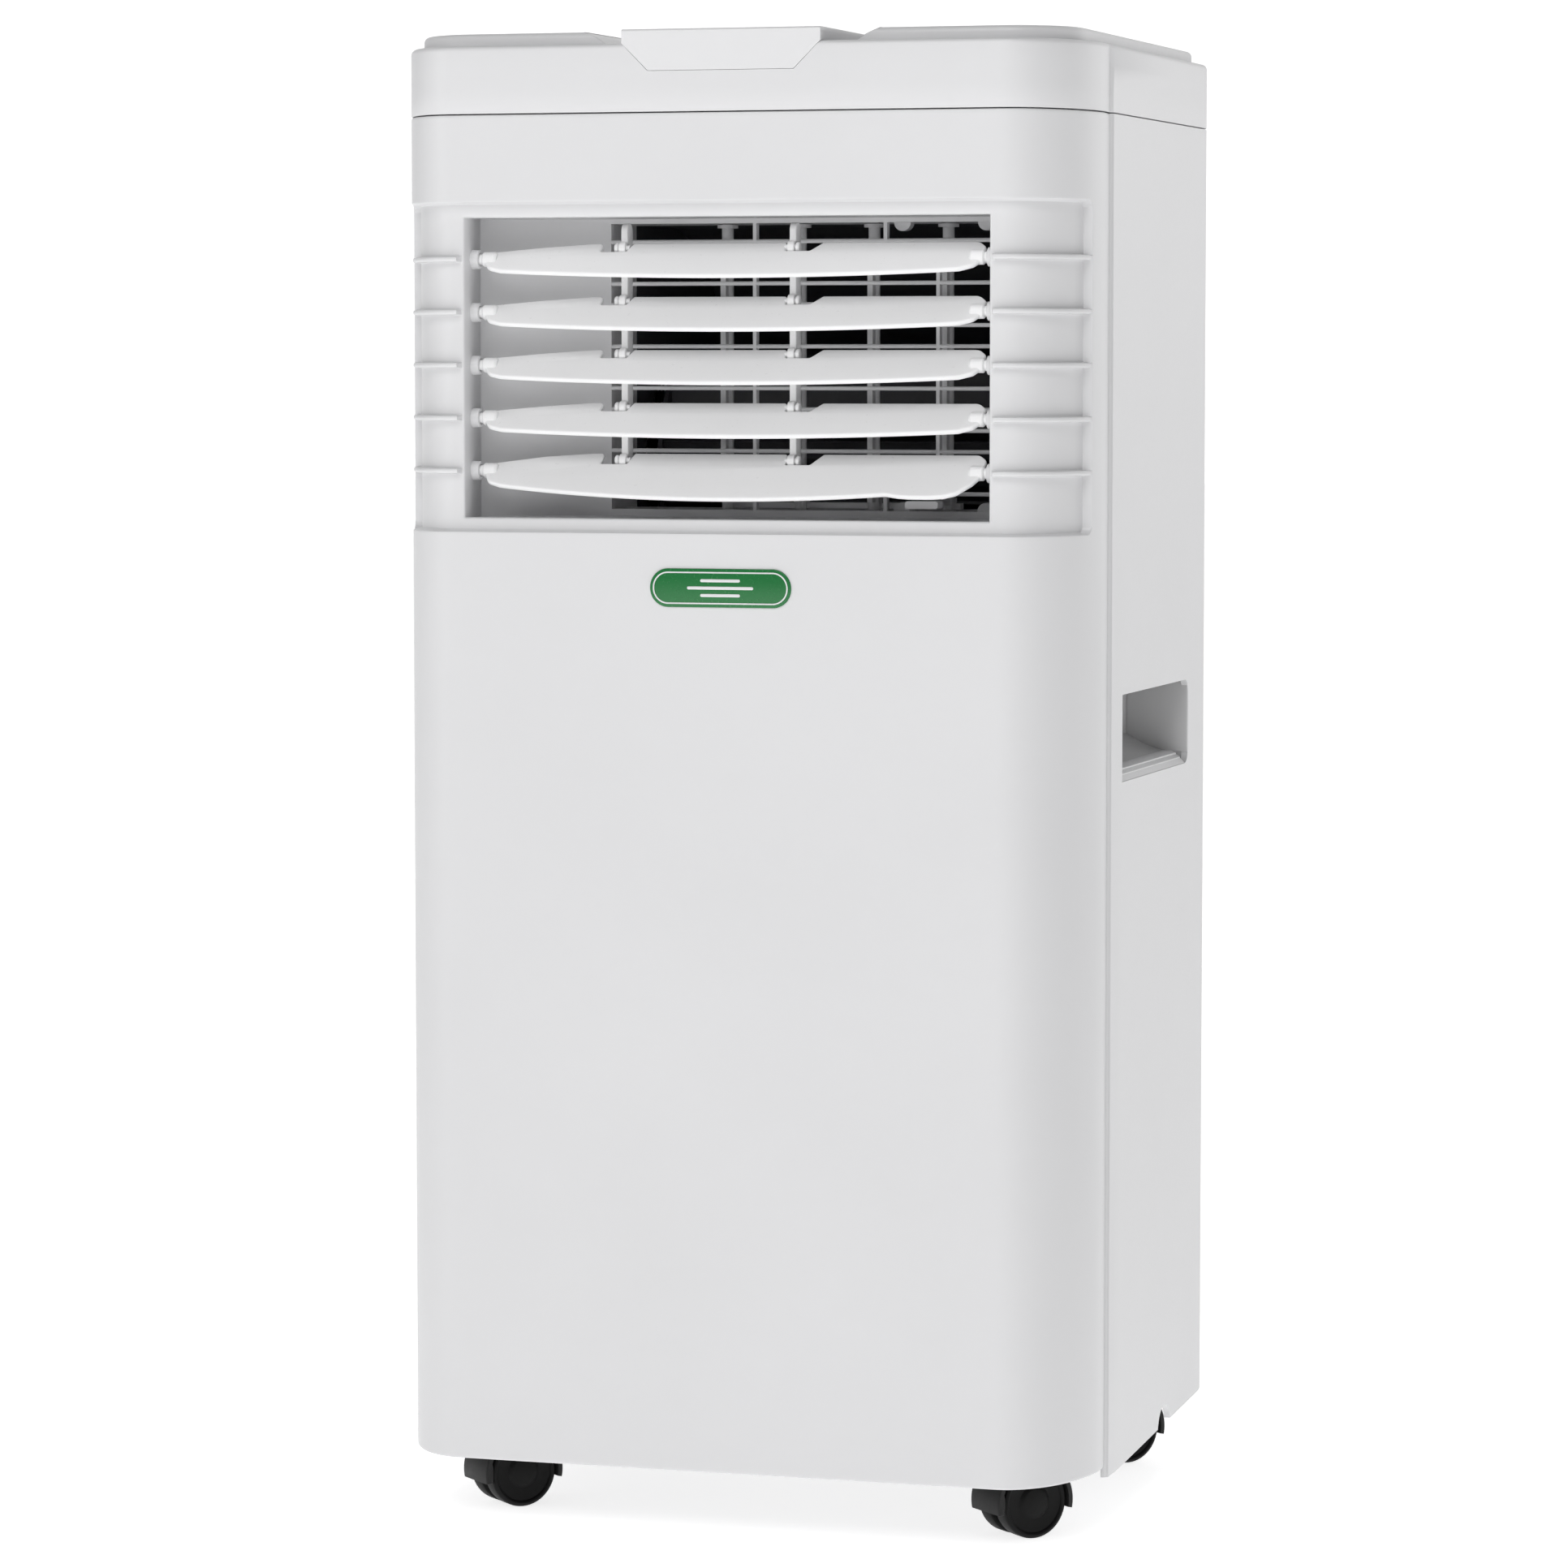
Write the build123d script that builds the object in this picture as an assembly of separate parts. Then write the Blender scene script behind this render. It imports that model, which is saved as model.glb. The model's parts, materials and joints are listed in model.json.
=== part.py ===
from build123d import *

import math
import os

# Portable air conditioner. Millimetres, +Z up, front towards -Y, origin at the
# middle of the footprint on the floor.

# ---------------------------------------------------------------- driving sizes
WIDTH = 316.0
DEPTH = 270.0
HEIGHT = 660.0

WALL = 3.0                 # moulded casing skins
CORNER_RX = 35.0           # front corners are elliptical in plan
CORNER_RY = 62.0
REAR_R = 24.0
SEAM_DEPTH = 64.0          # front panel wraps this far round the sides
SEAM_GAP = 0.5
PANEL_BASE_Z = 30.0
CASING_BASE_Z = 25.0
COVER_Z = 623.5            # joint between body and top cover
RIM_Z = 653.0
PAD_Z = 659.0

OUTLET_HALF_W = 119.0
OUTLET_Z = (447.5, 578.5)
RECESS_Z = (441.5, 585.0)
RECESS_DEPTH = 4.0
RECESS_WRAP = 38.8         # how far the recess runs round the corners
FRAME_WALL = 2.5           # outlet frame and duct walls
FRAME_BACK = 25.0          # outlet frame ends this far behind the front

LOUVER_TOP_Z = 560.5
LOUVER_PITCH = 23.125
LOUVER_COUNT = 5
LOUVER_PIVOT_DEPTH = 15.5
LOUVER_TILT = 40.0
PIN_R = 2.45
PIN_FIT = 0.05
LINK_X = (-51.0, 26.0)
PEG_RADIUS_ARM = 7.2       # louver pivot to link peg
PEG_R = 1.4

GRILLE_DEPTH = 50.0
GRILLE_LEFT = -68.0
GRILLE_Z = (450.5, 576.5)
RAIL_TOP_Z = 568.5
RAIL_PITCH = 9.2
RAIL_COUNT = 13
DUCT_BACK_DEPTH = 90.0

VANE_LAST_X = 83.7
VANE_PITCH = 33.8
VANE_COUNT = 4
VANE_PIVOT_DEPTH = 67.0
VANE_PEG_ARM = 8.5

CASTER_X = 119.0
CASTER_FRONT_Y = -86.0
CASTER_REAR_Y = 92.0
WHEEL_R = 16.0
TRAIL = 5.0

EXHAUST_X = 50.0
EXHAUST_Z = 296.0
EXHAUST_R = 62.5
DRAIN_X = -110.0
DRAIN_Z = 58.0
CORD_X = -120.0
CORD_Z = 250.0
UPPER_WINDOW_Z = (384.0, 596.0)
LOWER_WINDOW_Z = (74.0, 214.0)
WINDOW_HALF_W = 112.0
BACK_HALF_W = 133.7        # the back panel stops where the rear corners begin
TAB_Z = (140.0, 340.0, 480.0)
TAB_HEIGHT = 20.0          # tongues that lap the side panels behind the back panel

HANDLE_Y = (-48.0, 81.0)
HANDLE_Z = (331.0, 369.5)
HANDLE_CORNER_R = 6.0
HANDLE_DEEP = 29.0         # how far each hand hold goes in
HANDLE_LIP = 2.5
ARCH_Y = 40.0
SEAM_BEVEL = 1.8

PAD_SLOPE_X = (54.0, 66.0) # inner end of each pad, at its foot and at its top
PAD_INSET = 7.0
RIM_R = 2.5

SCREW_X = 128.0
SCREW_Z = (48.0, 350.0, 608.0)
SCREW_R = 2.0
SHAFT_R = 4.0
BLADES = 22

HOOD_R = (17.2, 19.6)      # inside and outside of each fender
HOOD_HALF_W = 11.5
WEB_HALF_W = 1.6
AXLE_R = 2.5
SWIVEL_R = 5.5

# ---------------------------------------------------------------- derived sizes
HALF_W = WIDTH / 2
FRONT = -DEPTH / 2
BACK = DEPTH / 2
SEAM_Y = FRONT + SEAM_DEPTH
FRAME_Y = FRONT + FRAME_BACK
GRILLE_Y = FRONT + GRILLE_DEPTH
DUCT_BACK_Y = FRONT + DUCT_BACK_DEPTH
VANE_Y = FRONT + VANE_PIVOT_DEPTH
PIVOT_Y = FRONT + LOUVER_PIVOT_DEPTH
LOUVER_Z = [LOUVER_TOP_Z - i * LOUVER_PITCH for i in range(LOUVER_COUNT)]
VANE_X = [VANE_LAST_X - (VANE_COUNT - 1 - i) * VANE_PITCH for i in range(VANE_COUNT)]
DECK_Z = 366.0
PAN_Z = 39.0
INNER = WALL + 0.2         # inset of inner plates from the casing's outside
WINDOW_FRAME = 6.0


# ---------------------------------------------------------------- small helpers
def block(x, y, z):
    """A box given by its low and high limits along each axis."""
    size = (x[1] - x[0], y[1] - y[0], z[1] - z[0])
    centre = ((x[0] + x[1]) / 2, (y[0] + y[1]) / 2, (z[0] + z[1]) / 2)
    return Pos(*centre) * Box(*size)


def rod(radius, start, length, axis="Z"):
    """A cylinder from start, running length along the named axis."""
    turn = {"X": Rot(0, 90, 0), "Y": Rot(-90, 0, 0), "Z": Rot(0, 0, 0)}[axis]
    base = Cylinder(radius, length, align=(Align.CENTER, Align.CENTER, Align.MIN))
    return Pos(*start) * turn * base


def tube(outer, inner, start, length, axis="Z"):
    return rod(outer, start, length, axis) - rod(inner, start, length, axis)


def plan(inset):
    """The body's outline in plan, moved inwards by inset."""
    front_y = FRONT + CORNER_RY
    back_y = BACK - REAR_R
    corner_x = HALF_W - CORNER_RX
    back_x = HALF_W - REAR_R
    wide = Pos(0, (front_y + back_y) / 2) * Rectangle(WIDTH - 2 * inset, back_y - front_y)
    nose = Pos(0, (FRONT + inset + front_y) / 2) * Rectangle(2 * corner_x, CORNER_RY - inset)
    tail = Pos(0, (BACK - inset + back_y) / 2) * Rectangle(2 * back_x, REAR_R - inset)
    face = wide + nose + tail
    for side in (-1, 1):
        face += Pos(side * corner_x, front_y) * Ellipse(CORNER_RX - inset, CORNER_RY - inset)
        face += Pos(side * back_x, back_y) * Circle(REAR_R - inset)
    return face


def prism(face, z0, z1):
    """A plan face stood up between two heights."""
    return Pos(0, 0, z0) * extrude(face, z1 - z0)


def across(face, x0, x1):
    """A face drawn in (Y, Z) and carried along X from x0 to x1."""
    return Plane.YZ.offset(x0) * extrude(face, x1 - x0)


def solid(shape):
    """The single solid of a boolean result."""
    found = shape.solids()
    return max(found, key=lambda s: s.volume)


def group(shapes):
    return Compound(children=[solid(s) for s in shapes])


PARTS = {}


def keep(name, shape):
    PARTS[name] = shape


# ---------------------------------------------------------------- front panel
def front_half(y_limit):
    return block((-HALF_W - 5, HALF_W + 5), (FRONT - 5, y_limit), (0, HEIGHT))


def recess_tool():
    """The shallow band round the outlet, with rounded ends on both corners."""
    ring = prism(plan(-5) - plan(RECESS_DEPTH), *RECESS_Z)
    limit = block((-HALF_W - 9, HALF_W + 9), (FRONT - 9, FRONT + RECESS_WRAP), RECESS_Z)
    ends = limit.edges().filter_by(Axis.X).sort_by(Axis.Y)[-2:]
    return ring & fillet(ends, 4.0)


def side_ribs():
    """Level ribs on the recess floor, in line with each louver, both sides."""
    ribs = None
    for z in LOUVER_Z:
        band = prism(plan(0.25) - plan(RECESS_DEPTH + 1), z - 1.1, z + 1.1)
        for side in (-1, 1):
            ends = sorted((side * (OUTLET_HALF_W + 1.5), side * (HALF_W + 5)))
            rib = band & block(ends, (FRONT - 5, FRONT + RECESS_WRAP + 3), (z - 2, z + 2))
            ribs = rib if ribs is None else ribs + rib
    return ribs


def pin_sockets():
    """Short open clips on the outlet frame that the louver pins turn in."""
    sockets = None
    for z in LOUVER_Z:
        for side in (-1, 1):
            start = min(side * OUTLET_HALF_W, side * (OUTLET_HALF_W - 3.5))
            ring = rod(4.1, (start, PIVOT_Y, z), 3.5, "X")
            sockets = ring if sockets is None else sockets + ring
    return sockets


def front_panel():
    skin = prism(plan(0) - plan(WALL), PANEL_BASE_Z, COVER_Z - SEAM_GAP)
    skin = skin & front_half(SEAM_Y)
    band = prism(plan(0) - plan(RECESS_DEPTH + FRAME_WALL), RECESS_Z[0] - 3, RECESS_Z[1] + 3)
    panel = skin + (band & front_half(FRONT + RECESS_WRAP + 4))
    panel -= recess_tool()
    panel += side_ribs()
    frame_x = OUTLET_HALF_W + FRAME_WALL
    frame_z = (OUTLET_Z[0] - FRAME_WALL, OUTLET_Z[1] + FRAME_WALL)
    panel += block((-frame_x, frame_x), (FRONT + RECESS_DEPTH, FRAME_Y), frame_z)
    mouth = block((-OUTLET_HALF_W, OUTLET_HALF_W), (FRONT - 5, FRAME_Y + 5), OUTLET_Z)
    panel -= mouth
    panel += pin_sockets()
    for z in LOUVER_Z:
        panel -= rod(PIN_R + PIN_FIT, (-OUTLET_HALF_W - 0.5, PIVOT_Y, z), 2 * OUTLET_HALF_W + 1, "X")
    for x in LINK_X:
        slot_y = (PIVOT_Y + 2, FRAME_Y - 1)
        panel -= block((x - 2.4, x + 2.4), slot_y, (OUTLET_Z[1] - 1, OUTLET_Z[1] + FRAME_WALL + 1))
    panel -= badge_blank(1.0, 0.0)
    return solid(panel)


def badge_blank(thickness, gap):
    """A plain lozenge plate under the outlet."""
    outline = SlotOverall(64.0 - 2 * gap, 17.0 - 2 * gap)
    plate = extrude(outline, thickness)
    return Pos(0, FRONT + thickness, 418.0) * Rot(90, 0, 0) * plate


def badge():
    return badge_blank(1.0, 0.1)


# ---------------------------------------------------------------- side and back panels
def handle_window(side):
    x = sorted((side * (HALF_W - 12), side * (HALF_W + 4)))
    opening = block(x, HANDLE_Y, HANDLE_Z)
    rear = opening.edges().filter_by(Axis.X).sort_by(Axis.Y)[-2:]
    return fillet(rear, HANDLE_CORNER_R)


def bottom_trim():
    """Below the casing's lower edge, which rises slightly towards the back."""
    outline = Polyline((SEAM_Y - 5, 0), (SEAM_Y - 5, CASING_BASE_Z), (-50, CASING_BASE_Z),
                       (110, 32), (BACK + 5, 36), (BACK + 5, 0), (SEAM_Y - 5, 0))
    return across(make_face(outline), -HALF_W - 5, HALF_W + 5)


def arch_tool():
    """The small arched notch in the lower edge of each side."""
    arch = SlotOverall(44.0, 26.0, rotation=90)
    return across(Pos(ARCH_Y, 16.0) * arch, -HALF_W - 5, HALF_W + 5)


def casing_skin():
    skin = prism(plan(0) - plan(WALL), 20.0, COVER_Z - SEAM_GAP)
    skin -= front_half(SEAM_Y + SEAM_GAP)
    return skin - bottom_trim()


def side_panel(side):
    """One side with its rear corner: hand-hold window, arched notch, bevelled front edge."""
    reach = sorted((side * (BACK_HALF_W + 0.3), side * (HALF_W + 5)))
    half = block(reach, (FRONT, BACK + 5), (0, HEIGHT))
    panel = casing_skin() & half
    front_edges = panel.edges().filter_by(Axis.Z).group_by(Axis.Y)[0]
    panel = chamfer([e for e in front_edges if abs(e.center().X) > HALF_W - 0.1], SEAM_BEVEL)
    panel -= arch_tool()
    panel -= handle_window(side)
    within = prism(plan(1), 0, HEIGHT)
    tab_x = sorted((side * (BACK_HALF_W - 8), side * (BACK_HALF_W + 4)))
    join_x = sorted((side * (BACK_HALF_W + 0.3), side * (BACK_HALF_W + 4)))
    for z in TAB_Z:
        height = (z, z + TAB_HEIGHT)
        panel += block(tab_x, (BACK - 5.4, BACK - WALL - 0.1), height) & within
        panel += block(join_x, (BACK - 5.4, BACK - 1), height) & within
    for x, z in screw_places():
        panel -= rod(SCREW_R + 0.1, (x, BACK - 14, z), 12, "Y")
    return solid(panel)


def back_panel():
    flat = block((-BACK_HALF_W, BACK_HALF_W), (BACK - 20, BACK + 5), (0, HEIGHT))
    skin = casing_skin() & flat
    for z0, z1 in (UPPER_WINDOW_Z, LOWER_WINDOW_Z):
        skin -= block((-WINDOW_HALF_W, WINDOW_HALF_W), (BACK - 10, BACK + 5), (z0, z1))
        ledge = block((-WINDOW_HALF_W - 4, WINDOW_HALF_W + 4), (BACK - 9, BACK - WALL),
                      (z0 - 4, z1 + 4))
        hole = block((-WINDOW_HALF_W + 4, WINDOW_HALF_W - 4), (BACK - 10, BACK + 5),
                     (z0 + 4, z1 - 4))
        seat = block((-WINDOW_HALF_W, WINDOW_HALF_W), (BACK - 6, BACK), (z0, z1))
        skin += ledge - hole - seat
    skin -= rod(EXHAUST_R + 4.0, (EXHAUST_X, BACK - 10, EXHAUST_Z), 20, "Y")
    skin -= rod(10.0, (DRAIN_X, BACK - 10, DRAIN_Z), 20, "Y")
    skin -= rod(7.0, (CORD_X, BACK - 10, CORD_Z), 20, "Y")
    for x, z in screw_places():
        skin -= rod(SCREW_R + 0.1, (x, BACK - 10, z), 20, "Y")
        skin -= rod(4.2, (x, BACK - 2.0, z), 5, "Y")
    return solid(skin)


def screw_places():
    return [(x, z) for x in (-SCREW_X, SCREW_X) for z in SCREW_Z]


def case_screws():
    screws = []
    for x, z in screw_places():
        head = rod(3.9, (x, BACK - 2.0, z), 1.8, "Y")
        shank = rod(SCREW_R, (x, BACK - 12.0, z), 10.0, "Y")
        slots = block((x - 2.4, x + 2.4), (BACK - 1.0, BACK + 1), (z - 0.5, z + 0.5))
        slots += block((x - 0.5, x + 0.5), (BACK - 1.0, BACK + 1), (z - 2.4, z + 2.4))
        screws.append(head + shank - slots)
    return group(screws)


def handle_cup(side):
    """A moulded hand hold behind the window, with room for fingers above it."""
    y = (HANDLE_Y[0] - 3, HANDLE_Y[1] + 3)
    z = (HANDLE_Z[0] - 3, HANDLE_Z[1] + 26)
    face = side * (HALF_W - WALL)
    deep = side * (HALF_W - WALL - HANDLE_DEEP)
    cup = block(sorted((face, deep)), y, z)
    inner = Polyline((face + side, z[0] + 3), (face, z[0] + 3), (deep + side * 3, z[0] + 22),
                     (deep + side * 3, z[1] - 3), (face - side * HANDLE_LIP, z[1] - 3),
                     (face - side * HANDLE_LIP, HANDLE_Z[1]), (face + side, HANDLE_Z[1]),
                     (face + side, z[0] + 3))
    void = Plane.XZ.offset(-HANDLE_Y[1]) * extrude(make_face(inner), HANDLE_Y[1] - HANDLE_Y[0])
    return solid(cup - void)


# ---------------------------------------------------------------- top cover and console
CONSOLE_HALF_W = 45.0
CONSOLE_BASE_HALF_W = 33.0
CONSOLE_BASE_Z = 641.0
CONSOLE_BACK = -35.0


def console_tool(gap):
    """The console's body: flush with the front, narrower at its foot."""
    w = CONSOLE_HALF_W - gap
    foot = CONSOLE_BASE_HALF_W - gap
    z0 = CONSOLE_BASE_Z + gap
    outline = Polyline((-foot, z0), (foot, z0), (w, RIM_Z), (w, PAD_Z), (-w, PAD_Z), (-w, RIM_Z),
                       (-foot, z0))
    body = extrude(make_face(outline), CONSOLE_BACK - FRONT - gap)
    return Plane.XZ.offset(-FRONT) * Pos(0, 0, -(CONSOLE_BACK - FRONT - gap)) * body


def side_pad(side):
    """A raised pad with a sloping inner end."""
    inner_foot, inner_top = PAD_SLOPE_X
    outer = plan(PAD_INSET) & Pos(side * (HALF_W + inner_foot) / 2, 4) * Rectangle(
        HALF_W - inner_foot, DEPTH - 22)
    pad = prism(outer, RIM_Z - 1, PAD_Z)
    slope = Polyline((side * inner_foot, RIM_Z - 2), (side * inner_foot, RIM_Z),
                     (side * inner_top, PAD_Z + 1), (0, PAD_Z + 1), (0, RIM_Z - 2),
                     (side * inner_foot, RIM_Z - 2))
    cut = Plane.XZ.offset(-BACK) * extrude(make_face(slope), DEPTH)
    return pad - cut


def top_cover():
    shell = prism(plan(0), COVER_Z, RIM_Z)
    rim = shell.edges().filter_by_position(Axis.Z, RIM_Z - 0.1, RIM_Z + 0.1)
    shell = fillet(rim, RIM_R)
    shell -= prism(plan(WALL), COVER_Z - 1, RIM_Z - WALL)
    for side in (-1, 1):
        shell += side_pad(side)
    well = block((-CONSOLE_HALF_W - 3, CONSOLE_HALF_W + 3), (FRONT + 0.5, CONSOLE_BACK + 3),
                 (CONSOLE_BASE_Z - 3, RIM_Z))
    inside = prism(plan(0.5), COVER_Z, RIM_Z)
    shell += well & inside
    shell -= console_tool(0.0)
    for x in (-CONSOLE_HALF_W + 12, CONSOLE_HALF_W - 12):
        shell -= block((x - 6, x + 6), (FRONT + 60, CONSOLE_BACK - 10), (600, CONSOLE_BASE_Z + 2))
    skirt = prism(plan(WALL + 0.2) - plan(WALL + 2.2), COVER_Z - 9, RIM_Z - WALL)
    keep_clear = front_half(SEAM_Y + 4)
    shell += skirt - keep_clear
    for x, z in screw_places()[2::3]:
        shell -= rod(SCREW_R, (x, BACK - 20, z), 30, "Y")
    return solid(shell)


BUTTON_NAMES = ("power_button", "mode_button", "fan_button", "warmer_button", "cooler_button")
BUTTON_Y = -62.0
BUTTON_PITCH = 16.0
BUTTON_SIZE = (12.0, 18.0)
DISPLAY_Y = (-118.0, -84.0)


def button_x(i):
    return (i - (len(BUTTON_NAMES) - 1) / 2) * BUTTON_PITCH


def control_console():
    body = console_tool(0.15)
    front_edges = body.edges().filter_by(Axis.X).sort_by(Axis.Z)[-2:]
    body = fillet(front_edges, 1.2)
    body -= block((-30, 30), DISPLAY_Y, (PAD_Z - 2.0, PAD_Z + 1))
    for i in range(len(BUTTON_NAMES)):
        well = extrude(RectangleRounded(BUTTON_SIZE[0] + 0.8, BUTTON_SIZE[1] + 0.8, 3.4), 8)
        body -= Pos(button_x(i), BUTTON_Y, PAD_Z - 5.0) * well
        body -= rod(2.05, (button_x(i), BUTTON_Y, CONSOLE_BASE_Z - 1), 20)
    return solid(body)


def display_window():
    pane = block((-29.9, 29.9), (DISPLAY_Y[0] + 0.1, DISPLAY_Y[1] - 0.1), (PAD_Z - 2.0, PAD_Z + 0.2))
    return solid(fillet(pane.edges().group_by(Axis.Z)[-1], 0.4))


def push_button(i):
    cap = extrude(RectangleRounded(*BUTTON_SIZE, 3.0), 4.2)
    cap = fillet(cap.edges().group_by(Axis.Z)[-1], 0.8)
    cap = Pos(button_x(i), BUTTON_Y, PAD_Z - 3.2) * cap
    stem = rod(2.0, (button_x(i), BUTTON_Y, CONSOLE_BASE_Z + 4), PAD_Z - CONSOLE_BASE_Z - 7)
    return solid(cap + stem)


# ---------------------------------------------------------------- air outlet
def scoop_face():
    """Plan of the duct mouth: its left side sweeps round to the grille."""
    left = -OUTLET_HALF_W
    sweep = EllipticalCenterArc((GRILLE_LEFT, FRAME_Y), GRILLE_LEFT - left, GRILLE_Y - FRAME_Y,
                                start_angle=90, arc_size=90)
    rest = Polyline(sweep @ 1, (OUTLET_HALF_W, FRAME_Y), (OUTLET_HALF_W, GRILLE_Y), sweep @ 0)
    return make_face(sweep + rest)


def outlet_duct():
    wide = OUTLET_HALF_W + FRAME_WALL
    mouth = block((-wide, wide), (FRAME_Y, GRILLE_Y + 4),
                  (OUTLET_Z[0] - FRAME_WALL, OUTLET_Z[1] + FRAME_WALL))
    tunnel = block((GRILLE_LEFT - FRAME_WALL, wide), (GRILLE_Y + 4, DUCT_BACK_Y),
                   (GRILLE_Z[0] - FRAME_WALL, GRILLE_Z[1] + FRAME_WALL))
    duct = mouth + tunnel
    duct -= Pos(0, 0, OUTLET_Z[0]) * extrude(scoop_face(), OUTLET_Z[1] - OUTLET_Z[0])
    duct -= block((GRILLE_LEFT, OUTLET_HALF_W), (GRILLE_Y - 1, DUCT_BACK_Y + 1), GRILLE_Z)
    for x in (66.0, 104.0):
        for z in GRILLE_Z:
            duct += rod(3.8, (x, GRILLE_Y + 5, z), 6.0, "Y")
    for x in VANE_X:
        duct -= rod(PIN_R + PIN_FIT, (x, VANE_Y, GRILLE_Z[0] - 5), GRILLE_Z[1] - GRILLE_Z[0] + 10)
    return solid(duct)


def outlet_grille():
    """Fixed guard: level rails joined by a few uprights."""
    y = (GRILLE_Y, GRILLE_Y + 4)
    sides = (GRILLE_LEFT, GRILLE_LEFT + 1.5), (OUTLET_HALF_W - 1.5, OUTLET_HALF_W)
    guard = block(sides[0], y, GRILLE_Z) + block(sides[1], y, GRILLE_Z)
    rail_z = [RAIL_TOP_Z - i * RAIL_PITCH for i in range(RAIL_COUNT)]
    for z in rail_z:
        rail = SlotOverall(y[1] - y[0], 1.8)
        guard += across(Pos((y[0] + y[1]) / 2, z) * rail, GRILLE_LEFT + 0.5, OUTLET_HALF_W - 0.5)
    guard += block((-0.8, 0.8), y, GRILLE_Z)
    guard += block((VANE_LAST_X - 0.9, VANE_LAST_X + 0.7), y, (rail_z[-1], rail_z[0]))
    for z in ((GRILLE_Z[0], rail_z[-1]), (rail_z[0], GRILLE_Z[1])):
        guard += block((58.9, 60.5), y, z)
    return solid(guard)


def vane(i):
    """An upright air vane; the last one carries the finger lever."""
    x = VANE_X[i]
    blade = block((x - 1.2, x + 1.2), (VANE_Y - 7, VANE_Y + 5), (GRILLE_Z[0] + 3.5, GRILLE_Z[1] - 8))
    shape = blade + rod(2.6, (x, VANE_Y, GRILLE_Z[1] - 9), 8.6)
    shape += rod(4.6, (x, VANE_Y, GRILLE_Z[1] - 1.9), 1.5)
    shape += rod(2.6, (x, VANE_Y, GRILLE_Z[0] + 0.4), 4.0)
    spindle_z = GRILLE_Z[0] - 2.3
    shape += rod(PIN_R, (x, VANE_Y, spindle_z), GRILLE_Z[1] - GRILLE_Z[0] + 4.6)
    shape += block((x - 1.2, x + 1.2), (VANE_Y, VANE_Y + VANE_PEG_ARM + 2),
                   (GRILLE_Z[0] + 3.5, GRILLE_Z[0] + 5.5))
    shape += rod(1.5, (x, VANE_Y + VANE_PEG_ARM, GRILLE_Z[0] + 0.5), 4.0)
    if i == VANE_COUNT - 1:
        arm_z = (GRILLE_Z[0] + 2.2, GRILLE_Z[0] + 4.8)
        shape += block((x - 1.5, x + 1.5), (FRONT + 30, VANE_Y), arm_z)
        grip = block((x - 7.4, x + 7.4), (FRONT + 23, FRONT + 32), (GRILLE_Z[0] + 1.8, GRILLE_Z[0] + 5.1))
        shape += fillet(grip.edges().filter_by(Axis.Y), 1.2)
    return solid(shape)


def vane_link():
    y = VANE_Y + VANE_PEG_ARM
    bar = block((VANE_X[0] - 4, VANE_X[-1] + 4), (y - 2.8, y + 2.8), (GRILLE_Z[0] + 0.4, GRILLE_Z[0] + 3.0))
    for x in VANE_X:
        bar -= rod(1.55, (x, y, GRILLE_Z[0] - 1), 6)
    return solid(bar)


# ---------------------------------------------------------------- louvers
def louver_plate(rear, nose, nose_end, has_tab):
    """Flat outline of a louver about its pivot line, front edge towards -Y."""
    end = 112.5
    taper_x = -62.0
    left_rear = rear - 4.6
    bow = ThreePointArc((end - 6, -nose_end), (0, -nose), (-end + 6, -nose_end))
    edge = Polyline((-end + 6, -nose_end), (-end, -nose_end + 5), (-end, left_rear), (taper_x, rear),
                    (end - 4, rear), (end, rear - 4), (end, -nose_end + 5), (end - 6, -nose_end))
    plate = make_face(bow + edge)
    if has_tab:
        tab = Polyline((72, -nose_end), (84, -18.6), (97, -18.0), (108, -nose_end + 1), (72, -nose_end))
        plate += make_face(tab)
    return plate


def link_notches(rear):
    """Cut-outs in the rear edge where the upright link bars pass."""
    cuts = None
    for x, out in zip(LINK_X, (-1, 1)):
        inner = x - out * 2.3
        wall = Polyline((inner, rear + 1), (inner, 3.9), (x + out * 8, 3.9), (x + out * 11.5, rear + 1),
                        (inner, rear + 1))
        cuts = make_face(wall) if cuts is None else cuts + make_face(wall)
    return cuts


def louver(i):
    last = i == LOUVER_COUNT - 1
    rear = 11.1 if last else 9.6
    nose = 19.0 if last else 12.6
    nose_end = 10.6 if last else 8.6
    face = louver_plate(rear, nose, nose_end, last) - link_notches(rear)
    plate = Pos(0, 0, -0.9) * extrude(face, 1.8)
    for side in (-1, 1):
        start = min(side * 111.5, side * (OUTLET_HALF_W - 0.3))
        plate += rod(PIN_R, (start, 0, 0), OUTLET_HALF_W - 0.3 - 111.5, "X")
        boss = min(side * 108.0, side * 114.5)
        plate += rod(3.4, (boss, 0, 0), 6.5, "X")
    for x, out in zip(LINK_X, (-1, 1)):
        root = x - out * 3.0
        start = min(root, x + out * 3.6)
        plate += rod(PEG_R, (start, PEG_RADIUS_ARM, 0), 6.6, "X")
        head = min(x + out * 1.8, x + out * 3.6)
        plate += rod(2.2, (head, PEG_RADIUS_ARM, 0), 1.8, "X")
    return solid(Pos(0, PIVOT_Y, LOUVER_Z[i]) * Rot(LOUVER_TILT, 0, 0) * plate)


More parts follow.
